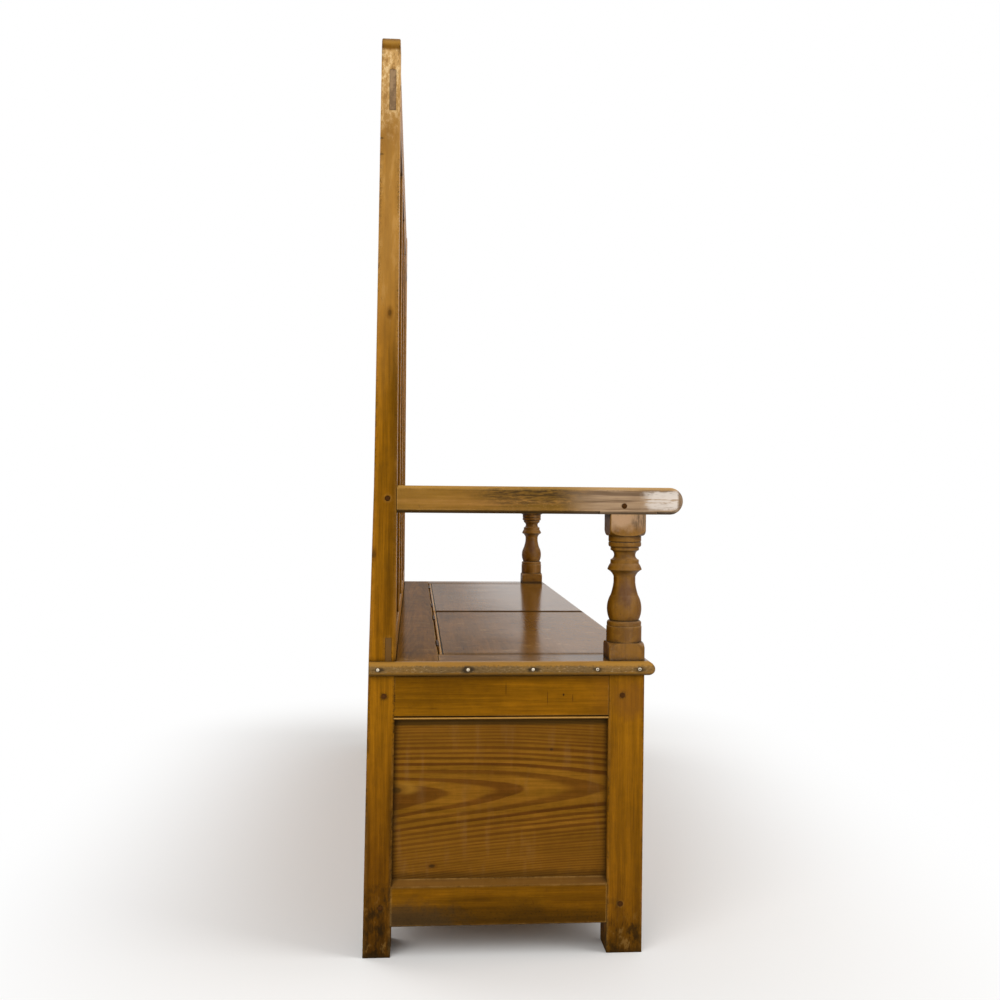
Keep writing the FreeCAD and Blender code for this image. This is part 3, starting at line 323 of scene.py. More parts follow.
@made_once
def wood_fibres(name):
    """Fine fibres, streaks and short dark flecks along the grain, and broad bands of tone."""
    tree, wires, given, put = effect(
        name,
        {"Place": ("vector", (0, 0, 0)), "Seed": ("value", 0.0)},
        {"Fine": "value", "Streaks": "value", "Bands": "value", "Flecks": "value", "Scuffs": "value"},
    )
    away = wires.math("MULTIPLY", given["Seed"], 5.3)
    place = wires.vector("ADD", given["Place"], wires.join(away, 0.0, 0.0))
    wires.feed(put["Fine"], wires.noise(place, (22.0, 620.0, 620.0), 3.0, 0.6))
    wires.feed(put["Streaks"], wires.noise(place, (4.0, 120.0, 120.0), 4.0, 0.6))
    wires.feed(put["Bands"], wires.noise(place, (3.6, 22.0, 22.0), 3.0, 0.55))
    fleck = wires.noise(place, (40.0, 700.0, 700.0), 1.0)
    wires.feed(put["Flecks"], wires.step(fleck, 0.7, 0.8))
    wires.feed(put["Scuffs"], wires.noise(place, (55.0, 330.0, 330.0), 4.0, 0.7))
    return tree


@made_once
def dirt_and_wear(name):
    """Dirt and painted shade in corners, painted shade on downward faces, rubbed edges, and dust on ledges.
    """
    tree, wires, given, put = effect(
        name,
        {
            "Place": ("vector", (0, 0, 0)),
            "Crevice": ("value", 0.01),
            "Edge": ("value", 0.004),
        },
        {
            "Dirt": "value", "Wear": "value", "Edge": "value", "Black edge": "value", "Ledge": "value",
            "Shade": "value", "Clouds": "value", "Mottle": "value", "Grit": "value",
        },
    )
    # Painted shade mixed with dirt: ambient occlusion darkens corners and crevices
    open_share = wires.node(
        "ShaderNodeAmbientOcclusion", {"Distance": given["Crevice"]}, samples=6
    ).outputs["AO"]
    clouds = wires.noise(given["Place"], 7.0, 4.0, 0.6)
    mottle = wires.noise(given["Place"], 60.0, 4.0, 0.65)
    corner = wires.step(open_share, 0.95, 0.45)
    broken = wires.math("MULTIPLY_ADD", mottle, 0.9, 0.45)
    wires.feed(put["Dirt"], wires.math("MULTIPLY", corner, broken, clamp=True))
    bevelled = wires.node("ShaderNodeBevel", {"Radius": given["Edge"]}, samples=4).outputs[0]
    facing = wires.node("ShaderNodeNewGeometry").outputs["Normal"]
    turn = wires.vector("DOT_PRODUCT", bevelled, facing)
    edge = wires.step(turn, 0.995, 0.9)
    edge = wires.math("MULTIPLY", edge, wires.step(open_share, 0.55, 0.9))
    wires.feed(put["Edge"], edge)
    blotch = wires.math("MULTIPLY_ADD", clouds, 0.6, wires.math("MULTIPLY", mottle, 0.4))
    rubbed = wires.step(blotch, 0.36, 0.62)
    wires.feed(put["Wear"], wires.math("MULTIPLY", edge, rubbed, clamp=True))
    grit = wires.noise(given["Place"], 320.0, 3.0, 0.7)
    black = wires.math("MULTIPLY_ADD", grit, 0.5, wires.math("MULTIPLY", mottle, 0.6))
    black = wires.math("MULTIPLY", edge, wires.step(black, 0.5, 0.6))
    wires.feed(put["Black edge"], wires.math("MULTIPLY", black, wires.step(rubbed, 0.8, 0.2)))
    wires.feed(put["Grit"], grit)
    up = wires.facing("Z")
    lying = wires.math("MULTIPLY", wires.step(up, 0.35, 0.7), wires.step(blotch, 0.3, 0.6, 0.35, 1.0))
    wires.feed(put["Ledge"], lying)
    # Painted shade on faces that look down
    wires.feed(put["Shade"], wires.step(up, -0.35, -0.8))
    wires.feed(put["Clouds"], clouds)
    wires.feed(put["Mottle"], mottle)
    return tree


@made_once
def dents_and_nicks(name):
    """Shallow dents, short straight nicks and small dark specks of long use."""
    tree, wires, given, put = effect(
        name,
        {"Place": ("vector", (0, 0, 0)), "Seed": ("value", 0.0)},
        {"Height": "value", "Nicks": "value", "Specks": "value"},
    )
    away = wires.math("MULTIPLY", given["Seed"], 2.9)
    place = wires.vector("ADD", given["Place"], wires.join(away, away, away))
    swell = wires.noise(place, 16.0, 2.0)
    pits = wires.node("ShaderNodeTexVoronoi", {"Vector": place, "Scale": 48.0}, feature="SMOOTH_F1")
    dent = wires.step(pits.outputs["Distance"], 0.3, 0.05)
    dent = wires.math("MULTIPLY", dent, wires.step(wires.noise(place, 21.0, 1.0), 0.58, 0.66))
    slant = wires.node("ShaderNodeVectorRotate", {"Vector": place, "Angle": 0.35}, rotation_type="X_AXIS")
    where = wires.step(wires.noise(place, (14.0, 14.0, 14.0), 1.0), 0.54, 0.62)
    nicks = 0.0
    for run in ((60.0, 900.0, 900.0), (900.0, 900.0, 60.0)):
        cut = wires.noise(slant.outputs[0], run, 0.0)
        cut = wires.math("MULTIPLY", wires.step(cut, 0.79, 0.84), where)
        nicks = wires.math("MAXIMUM", cut, nicks)
    dots = wires.node("ShaderNodeTexVoronoi", {"Vector": place, "Scale": 70.0}, feature="F1")
    dot = wires.step(dots.outputs["Distance"], 0.07, 0.03)
    picked = wires.step(wires.split(dots.outputs["Color"])[0], 0.8, 0.84)
    wires.feed(put["Specks"], wires.math("MULTIPLY", dot, picked))
    height = wires.math("MULTIPLY_ADD", swell, 0.5, wires.math("MULTIPLY", dent, -0.3))
    wires.feed(put["Height"], wires.math("MULTIPLY_ADD", nicks, -0.12, height))
    wires.feed(put["Nicks"], nicks)
    return tree


# What a look says unless its piece says otherwise
LOOK = {
    # Rings: how dark and wide they are, how they crowd outwards and waver, and where the heart may lie
    "contrast": 0.8, "ring": 1.0, "crowding": 14.0, "wander": 0.012, "start": 0.0, "spread": 0.02,
    # rift puts the heart far to one side, and apart gives each solid of a piece its own grain
    "rift": False, "apart": 0.0,
    # Tones along the grain, and how far a knot is drawn out along each axis
    "bands": 0.16, "streaks": 0.18, "flecks": 0.4, "knot": (1.0, 1.7, 1.0),
    # Strength of each sign of age; dirt also sets the painted shade in corners, and shade sets the painted
    # shade on downward faces
    "clouds": 0.3, "dust": 0.25, "wear": 1.0, "dirt": 1.0, "shade": 0.5, "nicks": 0.35,
    # The surface and its wax, and a coat that high_sheen brings in towards the top of the back
    "roughness": 0.42, "gloss": 0.04, "coat": 0.0, "coat_roughness": 0.2, "high_sheen": None,
    "bump": 1.0, "dents": 0.6,
}


class Board:
    """One material of a wooden piece, as it is wired up."""

    def __init__(self, node, grain, look, name=None):
        """grain names the axes that run along, across and through the board, such as YZX."""
        self.node = node
        self.look = {**LOOK, **look}
        look = self.look
        self.colours = bpy.context.scene.settle_colours
        self.surface = bpy.context.scene.settle_surface
        self.material = bpy.data.materials.new((name or f"pine {node}").replace("_", " "))
        self.wires = fresh_wiring(self.material)
        wires = self.wires
        low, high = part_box(node)
        centre = (low + high) / 2
        self.side = 1 if centre.x > 0 else -1
        self.place = wires.place()
        self.xyz = wires.split(self.place)
        local = wires.split(wires.vector("SUBTRACT", self.place, tuple(centre)))
        order = [AXES.index(letter) for letter in grain]
        self.board = wires.join(*(local[index] for index in order))
        half = (high[order[2]] - low[order[2]]) / 2
        chance = random.Random(node)
        self.seed = round(chance.uniform(1, 9), 2)
        side = chance.choice((-1, 1))
        if look["rift"]:
            heart = (side * chance.uniform(0.1, 0.14), half + chance.uniform(0.0, 0.03))
        else:
            heart = (chance.uniform(-1, 1) * look["spread"], half + chance.uniform(0.03, 0.09))
        island = wires.node("ShaderNodeNewGeometry").outputs["Random Per Island"]
        self.mark = wires.math("MULTIPLY_ADD", island, look["apart"], self.seed)
        self.rings = wires.group(
            growth_rings(), place=self.board, seed=self.mark,
            heart_across=look.get("heart_across", heart[0]),
            heart_depth=look.get("heart_depth", heart[1]),
            ring_width=self.surface.ring_width * look["ring"],
            taper=look.get("taper", side * chance.uniform(0.012, 0.03)),
            bow=look.get("bow", chance.uniform(-0.05, 0.05)),
            start=look["start"], crowding=look["crowding"], wander=look["wander"],
        )
        self.fibres = wires.group(wood_fibres(), place=self.board, seed=self.mark)
        self.dirt = wires.group(
            dirt_and_wear(), place=self.place, crevice=self.surface.crevice,
            edge=look.get("edge", self.surface.edge_radius * 2.5),
        )
        self.marks = wires.group(dents_and_nicks(), place=self.place, seed=self.seed)
        self.base = self.grain_colour()
        self.rough = self.roughness()

    def shade(self, mask, low, high, dark, light):
        """Darkens or lightens the wood with a mask, a little more yellow where it is lighter."""
        level = self.wires.step(mask, low, high, dark, light)
        blue = self.wires.math("MULTIPLY", level, level)
        self.base = self.wires.blend(1.0, self.base, self.wires.join(level, level, blue), "MULTIPLY")

    def grain_colour(self):
        wires = self.wires
        look = self.look
        late = wires.math("MULTIPLY", self.rings["Late wood"], look["contrast"])
        self.base = wires.blend(late, rgba(look["early"]), rgba(look["late"]))
        for name in ("bands", "streaks"):
            reach = look[name]
            self.shade(self.fibres[name.capitalize()], 0.3, 0.7, 1 - reach, 1 + reach)
        self.shade(self.fibres["Fine"], 0.25, 0.75, 0.86, 1.12)
        self.shade(self.dirt["Mottle"], 0.3, 0.7, 0.93, 1.07)
        fleck = wires.math("MULTIPLY", self.fibres["Flecks"], look["flecks"])
        return wires.blend(fleck, self.base, rgba(look["late"]), "MULTIPLY")

    def roughness(self):
        base = self.look["roughness"]
        rough = self.wires.step(self.dirt["Mottle"], 0.3, 0.7, base - 0.1, base + 0.03)
        return self.wires.math("MULTIPLY_ADD", self.fibres["Fine"], 0.1, rough)

    def tint(self, mask, colour, strength=1.0, mode="MIX"):
        """Lays a colour over the wood where the mask is."""
        share = mask if strength == 1.0 else self.wires.math("MULTIPLY", mask, strength)
        self.base = self.wires.blend(share, self.base, rgba(colour), mode)

    def soil(self, mask, strength):
        """Lays the grime colour where the mask is; some masks make it grime, others make it painted shade.
        """
        self.tint(mask, self.colours.grime, strength)

    def dull(self, mask, roughness):
        """Moves the roughness towards a value where the mask is."""
        made = self.wires.node("ShaderNodeMix", data_type="FLOAT")
        for index, value in ((0, mask), (2, self.rough), (3, roughness)):
            self.wires.feed(made.inputs[index], value)
        self.rough = made.outputs[0]

    def near(self, axis, start, end, ragged=0.0, by="Mottle"):
        """A mask that rises from start to end along X, Y or Z. A noise can make its edge ragged."""
        place = self.xyz[AXES.index(axis)]
        if ragged:
            uneven = self.dirt[by] if by in ("Mottle", "Clouds", "Grit") else self.fibres[by]
            place = self.wires.waver(place, uneven, ragged)
        return self.wires.step(place, start, end)

    def strip(self, axis, centre, half, soft):
        """A mask that covers a strip between two planes across X, Y or Z."""
        away = self.wires.distance(self.xyz[AXES.index(axis)], centre)
        return self.wires.step(away, half + soft / 2, half - soft / 2)

    def oval(self, centre, reach, ragged=0.0):
        """A mask that covers an oval patch."""
        return self.wires.step(self.away_from(centre, reach, ragged), 1.4, 0.5)

    def away_from(self, centre, reach, ragged):
        """The ragged distance from a point, with the reach along each axis as its unit."""
        away = self.wires.vector("SUBTRACT", self.place, centre)
        away = self.wires.vector("MULTIPLY", away, tuple(1 / length for length in reach))
        return self.wires.waver(self.wires.vector("LENGTH", away), self.dirt["Mottle"], ragged)

    def both(self, *masks):
        """A mask that is full only where all the masks are."""
        product = masks[0]
        for mask in masks[1:]:
            product = self.wires.math("MULTIPLY", product, mask)
        return product

    def knot(self, centre, radius, strength=0.8):
        """A small dark knot with a soft ring, drawn out along the grain."""
        away = self.away_from(centre, [share * radius for share in self.look["knot"]], 0.9)
        self.tint(self.wires.step(away, 2.2, 0.9, 0.0, 0.45), self.look["late"])
        self.soil(self.wires.step(away, 1.1, 0.5), strength)

    def age(self):
        """Dirt with painted shade in corners, painted shade on downward faces, rubbed edges, dusty ledges,
        and clouds of darker old wax.
        """
        look = self.look
        cloud = self.wires.step(self.dirt["Clouds"], 0.42, 0.68, 0.0, look["clouds"])
        self.tint(cloud, (0.56, 0.48, 0.4), mode="MULTIPLY")
        self.tint(self.dirt["Ledge"], self.colours.dust, look["dust"])
        self.tint(self.dirt["Wear"], self.colours.worn, self.surface.wear * look["wear"])
        # Dirt, with painted shade in corners and crevices
        self.soil(self.dirt["Dirt"], self.surface.dirt * look["dirt"])
        self.soil(self.dirt["Black edge"], 0.8)
        # Painted shade on faces that look down
        self.soil(self.dirt["Shade"], look["shade"])
        self.dull(self.dirt["Dirt"], 0.62)
        self.soil(self.marks["Nicks"], look["nicks"])
        self.soil(self.marks["Specks"], 0.6)

    def close(self):
        """Wires the shader, with worn round edges and raised grain, and lays it on the piece."""
        wires = self.wires
        look = self.look
        if look["high_sheen"]:
            look["coat"] = wires.step(self.xyz[2], 0.75, 1.35, 0.03, look["high_sheen"])
        grain = wires.math("MULTIPLY", self.rings["Late wood"], self.surface.grain_height / MM)
        grain = wires.math("MULTIPLY_ADD", self.fibres["Fine"], 0.06, grain)
        height = wires.math("MULTIPLY_ADD", self.marks["Height"], look["dents"], grain)
        normal = wires.bumps(height, look["bump"], MM, look.get("round", self.surface.edge_radius))
        shader = wires.node(
            "ShaderNodeBsdfPrincipled",
            {
                "Base Color": self.base,
                "Roughness": self.rough,
                "Normal": normal,
                "IOR": 1.47,
                "Specular IOR Level": look["gloss"],
                "Coat Weight": look["coat"],
                "Coat Roughness": look["coat_roughness"],
                "Coat Normal": normal,
            },
        )
        wires.node("ShaderNodeOutputMaterial", {"Surface": shader.outputs[0]})
        paint(self.node, self.material)


def paint(node, material):
    """Gives a CAD node one material for all its faces."""
    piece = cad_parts[node]
    piece.data.materials.clear()
    piece.data.materials.append(material)


def wood(kind, **changes):
    """The colours of one kind of wood, with changes for one piece."""
    colours = bpy.context.scene.settle_colours
    look = {
        "early": getattr(colours, kind + "_early"),
        "late": getattr(colours, kind + "_late"),
    }
    if kind in ("frame", "arm", "turned"):
        look.update(rift=True, ring=0.4, contrast=0.4)
    look.update(changes)
    return look


def plain_board(node, kind, grain, **changes):
    """Finishes a piece that needs nothing more than the wood and its age."""
    board = Board(node, grain, wood(kind, **changes), f"{kind} {node}")
    board.age()
    board.close()


# Pieces

class SETTLE_OT_rear_posts(bpy.types.Operator):
    """Finish the rear posts, pale towards the top, with painted shade down the legs and dirt at the foot"""

    bl_idname = "settle.rear_posts"
    bl_label = "Rear posts"

    def execute(self, context):
        for side in SIDES:
            self.post(f"rear_post_{side}")
        return {"FINISHED"}

    def post(self, node):
        look = wood("frame", knot=(1.0, 1.0, 1.8), bands=0.26, streaks=0.3, edge=0.008, wear=0.5)
        board = Board(node, "ZYX", look)
        wires = board.wires
        pale = board.near("Z", 0.8, 1.15, 0.3, "Bands")
        board.tint(pale, linear(190, 140, 70), 0.62)
        brown = wires.noise(board.place, (60.0, 60.0, 12.0), 4.0, 0.65)
        board.tint(board.both(pale, wires.step(brown, 0.5, 0.66)), linear(136, 90, 34), 0.32)
        board.tint(board.both(pale, wires.step(brown, 0.46, 0.34)), linear(210, 164, 96), 0.3)
        outward = wires.step(wires.math("ABSOLUTE", wires.facing("X")), 0.5, 0.9, 0.25, 1.0)
        crackle = board.both(board.near("Z", POST_TOP - 0.17, POST_TOP - 0.07, 0.1), outward)
        board.tint(crackle, linear(206, 162, 100), 0.8)
        flake = wires.noise(board.place, (170.0, 170.0, 90.0), 4.0, 0.75)
        board.tint(board.both(crackle, wires.step(flake, 0.5, 0.58)), linear(244, 210, 154), 0.75)
        board.tint(board.both(crackle, wires.step(flake, 0.45, 0.38)), linear(134, 92, 46), 0.6)
        band = board.near("Z", POST_TOP - 0.026, POST_TOP - 0.0205, 0.002)
        board.tint(band, linear(120, 78, 10), 0.95)
        # Painted highlight: a lighter strip along the middle of the rounded top
        board.tint(board.strip("Z", POST_TOP - 0.011, 0.004, 0.009), linear(178, 130, 52), 0.75)
        rim = board.near("Z", POST_TOP - 0.0035, POST_TOP - 0.001)
        board.soil(rim, 0.6)
        feet(board, 1.0, 0.13)
        outer = (POST_FACE - MM / 2) * board.side
        board.knot((outer, BACK_FACE + 0.013, 0.99), 0.0035, 0.5)
        board.knot((outer, BACK_FACE + 0.034, 0.62), 0.004, 0.5)
        # Two dark nicks in the outer face, below the tenon of the crest rail
        for height in (1.2546, 1.2303):
            board.soil(board.oval((outer, 0.2279, height), (0.02, 0.0045, 0.0016)), 0.6)
        board.age()
        board.close()


def feet(board, strength, height):
    """Legs darkened downwards with painted shade, scuffed and dirty feet, and black marks along their edges.
    """
    wires = board.wires
    # Painted shade: the legs darken towards the floor
    low = board.near("Z", 0.5, 0.08, 0.1, "Bands")
    board.tint(low, (0.58, 0.53, 0.4), strength, "MULTIPLY")
    foot = board.near("Z", height, 0.01, 0.12, "Clouds")
    board.soil(foot, 0.5)
    patches = wires.noise(board.place, (60.0, 60.0, 34.0), 5.0, 0.7)
    dark = board.near("Z", height + 0.03, height * 0.4, 0.2, "Clouds")
    board.soil(board.both(dark, wires.step(patches, 0.47, 0.62)), 0.75)
    scuffs = wires.step(board.fibres["Scuffs"], 0.5, 0.66)
    board.soil(board.both(dark, scuffs), 0.45)
    bare = board.both(board.near("Z", height, 0.03, 0.1, "Clouds"), wires.step(patches, 0.44, 0.34))
    board.tint(bare, linear(150, 112, 56), 0.5)
    ragged = wires.math("MULTIPLY_ADD", patches, 0.7, wires.math("MULTIPLY", board.dirt["Grit"], 0.3))
    ragged = board.both(board.dirt["Edge"], wires.step(ragged, 0.49, 0.55), board.near("Z", 0.43, 0.36, 0.2))
    board.soil(ragged, 0.9)
    board.dull(foot, 0.7)


class SETTLE_OT_front_posts(bpy.types.Operator):
    """Finish the turned front posts, polished above the seat, with painted shade on the faces ahead and
    behind and in the grooves
    """

    bl_idname = "settle.front_posts"
    bl_label = "Front posts"

    def execute(self, context):
        for side in SIDES:
            self.post(f"front_post_{side}")
        return {"FINISHED"}

    def post(self, node):
        look = wood("frame", coat_roughness=0.16, dents=0.4, edge=0.006, wear=0.5)
        board = Board(node, "ZYX", look)
        wires = board.wires
        above = board.near("Z", SEAT_TOP - 0.002, SEAT_TOP + 0.001)
        facing = wires.facing("Y", world=True)
        ahead = board.both(above, wires.step(facing, -0.25, -0.85))
        board.look["coat"] = board.both(
            above, wires.step(facing, 0.2, 0.9, 0.3, 0.03), wires.math("MULTIPLY_ADD", ahead, -0.85, 1.0)
        )
        turned = wood("turned")
        board.tint(above, turned["early"], 0.7)
        patch = wires.step(wires.noise(board.place, 42.0, 4.0, 0.65), 0.46, 0.64)
        board.tint(board.both(above, patch), turned["late"], 0.55)
        streaks = board.both(above, wires.step(board.fibres["Fine"], 0.5, 0.66))
        board.tint(streaks, turned["late"], 0.4)
        rubbed = board.near("Z", ARM_LOW.z - 0.03, ARM_LOW.z - 0.008, 0.03)
        board.tint(board.both(rubbed, wires.step(facing, 0.7, 0.2)), linear(196, 158, 120), 0.8)
        stain = board.oval((-POST_FACE, -0.178, ARM_LOW.z - 0.008), (0.05, 0.014, 0.014), 1.0)
        stain = board.both(stain, wires.step(board.fibres["Scuffs"], 0.4, 0.6, 0.3, 1.0))
        board.soil(stain, 0.7)
        # Painted shade: faces above the seat that look ahead, and those that look behind, are darkened
        board.tint(ahead, (0.5, 0.44, 0.27), 0.8, "MULTIPLY")
        behind = board.both(above, wires.step(facing, 0.7, 0.95))
        board.tint(behind, (0.4, 0.34, 0.2), 0.8, "MULTIPLY")
        # Painted shade with dirt in the grooves and hollows of the turning
        hollows = wires.step(board.dirt["Dirt"], 0.05, 0.5)
        board.soil(board.both(above, hollows), 0.7)
        middle = board.oval((0.0, -0.158, 0.562), (ANYWHERE, 0.011, 0.021), 0.8)
        board.tint(middle, linear(92, 58, 36), 0.6)
        peg = board.oval((0.0, -0.166, 0.395), (ANYWHERE, 0.028, 0.03), 1.0)
        board.tint(peg, linear(122, 76, 24), 0.6)
        feet(board, 0.5, 0.09)
        board.age()
        board.close()


class SETTLE_OT_back(bpy.types.Operator):
    """Finish the rails, muntins and panels of the back"""

    bl_idname = "settle.back"
    bl_label = "Back"

    def execute(self, context):
        sheen = {"high_sheen": 0.3, "coat_roughness": 0.3}
        for node in ("crest_rail", "back_seat_rail", "back_bottom_rail"):
            self.rail(node, sheen)
        for node in sorted(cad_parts):
            if node.startswith("back_muntin") or node == "rear_base_muntin":
                plain_board(node, "frame", "ZXY", **sheen)
            elif node.startswith("back_panel"):
                plain_board(node, "panel", "ZXY", spread=0.07, **sheen)
            elif node.startswith("rear_base_panel"):
                plain_board(node, "panel", "XZY", spread=0.08, dust=0.5)
        return {"FINISHED"}

    def rail(self, node, sheen):
        """A rail whose tenon shows at the outer faces of the posts as grey end grain."""
        board = Board(node, "XZY", wood("frame", **sheen))
        wires = board.wires
        reach = wires.math("ABSOLUTE", board.xyz[0])
        end = wires.step(reach, POST_FACE - 0.004, POST_FACE - 0.002)
        board.age()
        pale = (164, 134, 98) if node == "crest_rail" else (106, 76, 38)
        board.tint(end, linear(*pale), 0.9)
        speckle = board.both(end, wires.step(board.dirt["Mottle"], 0.42, 0.6))
        board.tint(speckle, linear(96, 70, 42), 0.6)
        board.close()


class SETTLE_OT_arms(bpy.types.Operator):
    """Finish the arms: golden by the back, grimy in the middle, rubbed and shiny at the hands, with a
    painted highlight at the tip
    """

    bl_idname = "settle.arms"
    bl_label = "Arms"

    def execute(self, context):
        for side in SIDES:
            self.arm(f"arm_{side}")
        return {"FINISHED"}

    def arm(self, node):
        look = wood(
            "arm", contrast=0.6, streaks=0.34, bands=0.3, coat=0.2, coat_roughness=0.22, dents=1.2, dust=0.0
        )
        board = Board(node, "YZX", look)
        wires = board.wires
        board.tint(board.near("Y", 0.03, 0.12, 0.1, "Clouds"), linear(150, 106, 30), 0.5)
        middle = board.both(
            board.near("Y", 0.11, 0.04, 0.1, "Bands"), board.near("Y", -0.2, -0.1, 0.1, "Bands")
        )
        streaky = wires.step(board.fibres["Scuffs"], 0.36, 0.6)
        upper = board.near("Z", ARM_LOW.z + 0.006, ARM_LOW.z + 0.034, 0.05, "Streaks")
        board.soil(board.both(middle, upper, streaky), 0.75)
        flecked = board.both(board.near("Y", 0.06, 0.0, 0.08), board.near("Y", -0.13, -0.07, 0.06))
        fleck = wires.noise(board.place, (300.0, 300.0, 620.0), 3.0, 0.8)
        fleck = wires.step(fleck, 0.58, 0.72)
        lower = board.near("Z", ARM_LOW.z + 0.026, ARM_LOW.z + 0.012, 0.02)
        board.tint(board.both(flecked, lower, fleck), linear(210, 172, 104), 0.5)
        fore = board.near("Y", -0.05, -0.12, 0.08, "Clouds")
        board.tint(fore, linear(186, 156, 124), 0.85)
        stripes = board.both(fore, wires.step(board.fibres["Streaks"], 0.48, 0.6))
        board.tint(stripes, linear(78, 54, 34), 0.65)
        # Painted highlight: pale streaky glints on the rounded tip of the arm
        scratch = wires.noise(board.place, (20.0, 45.0, 420.0), 3.0, 0.6)
        tip = board.both(
            board.near("Y", -0.176, -0.198, 0.03), board.near("Y", -0.2415, -0.2355, 0.012),
            board.near("Z", ARM_HIGH.z - 0.004, ARM_HIGH.z - 0.009, 0.01),
            board.near("Z", ARM_LOW.z + 0.004, ARM_LOW.z + 0.012, 0.016),
        )
        board.tint(board.both(tip, wires.step(scratch, 0.34, 0.5)), linear(232, 220, 208), 0.92)
        board.tint(board.near("Y", -0.236, -0.242, 0.01), linear(84, 56, 22), 0.6)
        board.dull(fore, 0.3)
        board.age()
        gold = board.near("Z", ARM_HIGH.z - 0.006, ARM_HIGH.z - 0.002, 0.002)
        board.tint(gold, linear(196, 148, 70), 0.5)
        board.soil(board.near("Z", ARM_LOW.z + 0.006, ARM_LOW.z + 0.002, 0.002), 0.7)
        board.close()


class SETTLE_OT_box_frames(bpy.types.Operator):
    """Finish the rails and muntins of the box"""

    bl_idname = "settle.box_frames"
    bl_label = "Box frames"

    # Upright checks in the top rails of the ends: where along Y and Z, and half their height
    CHECKS = ((-0.0356, 0.399, 0.011), (0.029, 0.414, 0.01), (-0.075, 0.398, 0.006))

    def execute(self, context):
        for side in SIDES:
            self.rail(f"end_top_rail_{side}", "YZX")
            self.rail(f"end_bottom_rail_{side}", "YZX")
        self.rail("front_top_rail", "XZY")
        self.rail("front_bottom_rail", "XZY")
        for node in sorted(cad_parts):
            if node.startswith("front_muntin"):
                plain_board(node, "frame", "ZXY")
        return {"FINISHED"}

    def rail(self, node, grain):
        board = Board(node, grain, wood("frame", dust=0.1, bands=0.24))
        if "bottom" in node:
            board.tint(board.near("Z", 0.2, 0.05, 0.1, "Bands"), (0.62, 0.6, 0.5), 0.8, "MULTIPLY")
            board.tint(board.near("Z", 0.13, 0.06, 0.1, "Clouds"), (0.84, 0.86, 0.8), 0.9, "MULTIPLY")
            board.tint(board.near("Z", 0.104, 0.108, 0.002), linear(96, 64, 22), 0.6)
            low = board.near("Z", 0.085, 0.05, 0.09, "Clouds")
            board.soil(low, 0.45)
            corner = board.oval((board.side * POST_FACE, 0.19, 0.05), (ANYWHERE, 0.09, 0.034), 1.2)
            board.tint(corner, linear(62, 52, 36), 0.55)
            specks = board.wires.step(board.dirt["Grit"], 0.56, 0.66)
            specks = board.both(board.near("Z", 0.1, 0.055, 0.08, "Clouds"), specks)
            board.soil(specks, 0.6)
        else:
            board.tint(board.near("Y", -0.08, -0.15, 0.08, "Clouds"), linear(124, 76, 24), 0.4)
            for y, z, reach in self.CHECKS:
                board.soil(board.oval((0.0, y, z), (ANYWHERE, 0.0006, reach), 0.5), 0.6)
            board.soil(board.oval((0.0, -0.0606, 0.4037), (ANYWHERE, 0.0014, 0.002)), 0.9)
        board.age()
        if "top" in node:
            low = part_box(node)[0].z
            # Painted highlight along the bead at the lower edge, and painted shade in the quirk above it
            board.tint(board.strip("Z", low + 0.0022, 0.0008, 0.0008), linear(206, 160, 88), 0.7)
            board.soil(board.strip("Z", low + 0.0048, 0.0011, 0.0006), 0.9)
        board.close()


class SETTLE_OT_box_panels(bpy.types.Operator):
    """Finish the panels of the box, with the flame figure of slab-sawn pine"""

    bl_idname = "settle.box_panels"
    bl_label = "Box panels"

    # How high the middle of the flame figure lies
    FIGURE_HEIGHT = 0.255

    def execute(self, context):
        for side, sign in SIDES.items():
            self.end_panel(f"end_panel_{side}", sign)
        for node in sorted(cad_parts):
            if node.startswith("front_panel"):
                plain_board(node, "panel", "XZY", contrast=0.9, wander=0.02, dust=0.5, spread=0.09)
        return {"FINISHED"}

    def end_panel(self, node, sign):
        low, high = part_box(node)
        heart = self.FIGURE_HEIGHT - (low.z + high.z) / 2
        look = wood(
            "panel", contrast=1.0, heart_across=heart, heart_depth=-0.044 * sign, taper=-0.046, bow=-0.155,
            crowding=30.0, ring=5.2, wander=0.008, dust=0.2, bands=0.1, streaks=0.14, start=0.14,
        )
        board = Board(node, "YZX", look)
        wires = board.wires
        face = (low.x + high.x) / 2 + 0.006 * sign
        away = wires.distance(board.xyz[2], self.FIGURE_HEIGHT)
        board.tint(wires.step(away, 0.035, 0.095, 0.0, 0.5), linear(118, 76, 16))
        board.tint(board.oval((face, 0.186, 0.258), (0.02, 0.023, 0.009), 0.3), linear(158, 112, 36), 0.7)
        board.knot((face, 0.196, 0.2555), 0.006, 0.6)
        board.knot((face, 0.141, 0.137), 0.0035, 0.7)
        board.knot((face, -0.044, 0.3165), 0.002, 0.7)
        smear = wires.noise(board.place, (1.0, 60.0, 12.0), 3.0)
        board.tint(wires.step(smear, 0.5, 0.95), board.colours.dust, 0.2)
        # Painted shadow of the top rail across the top of the panel, with dirt
        under = board.near("Z", high.z - 0.0205, high.z - 0.016, 0.003)
        board.tint(under, linear(44, 36, 12), 0.62)
        sill = board.near("Z", low.z + 0.021, low.z + 0.012, 0.006)
        board.soil(sill, 0.45)
        board.age()
        board.close()


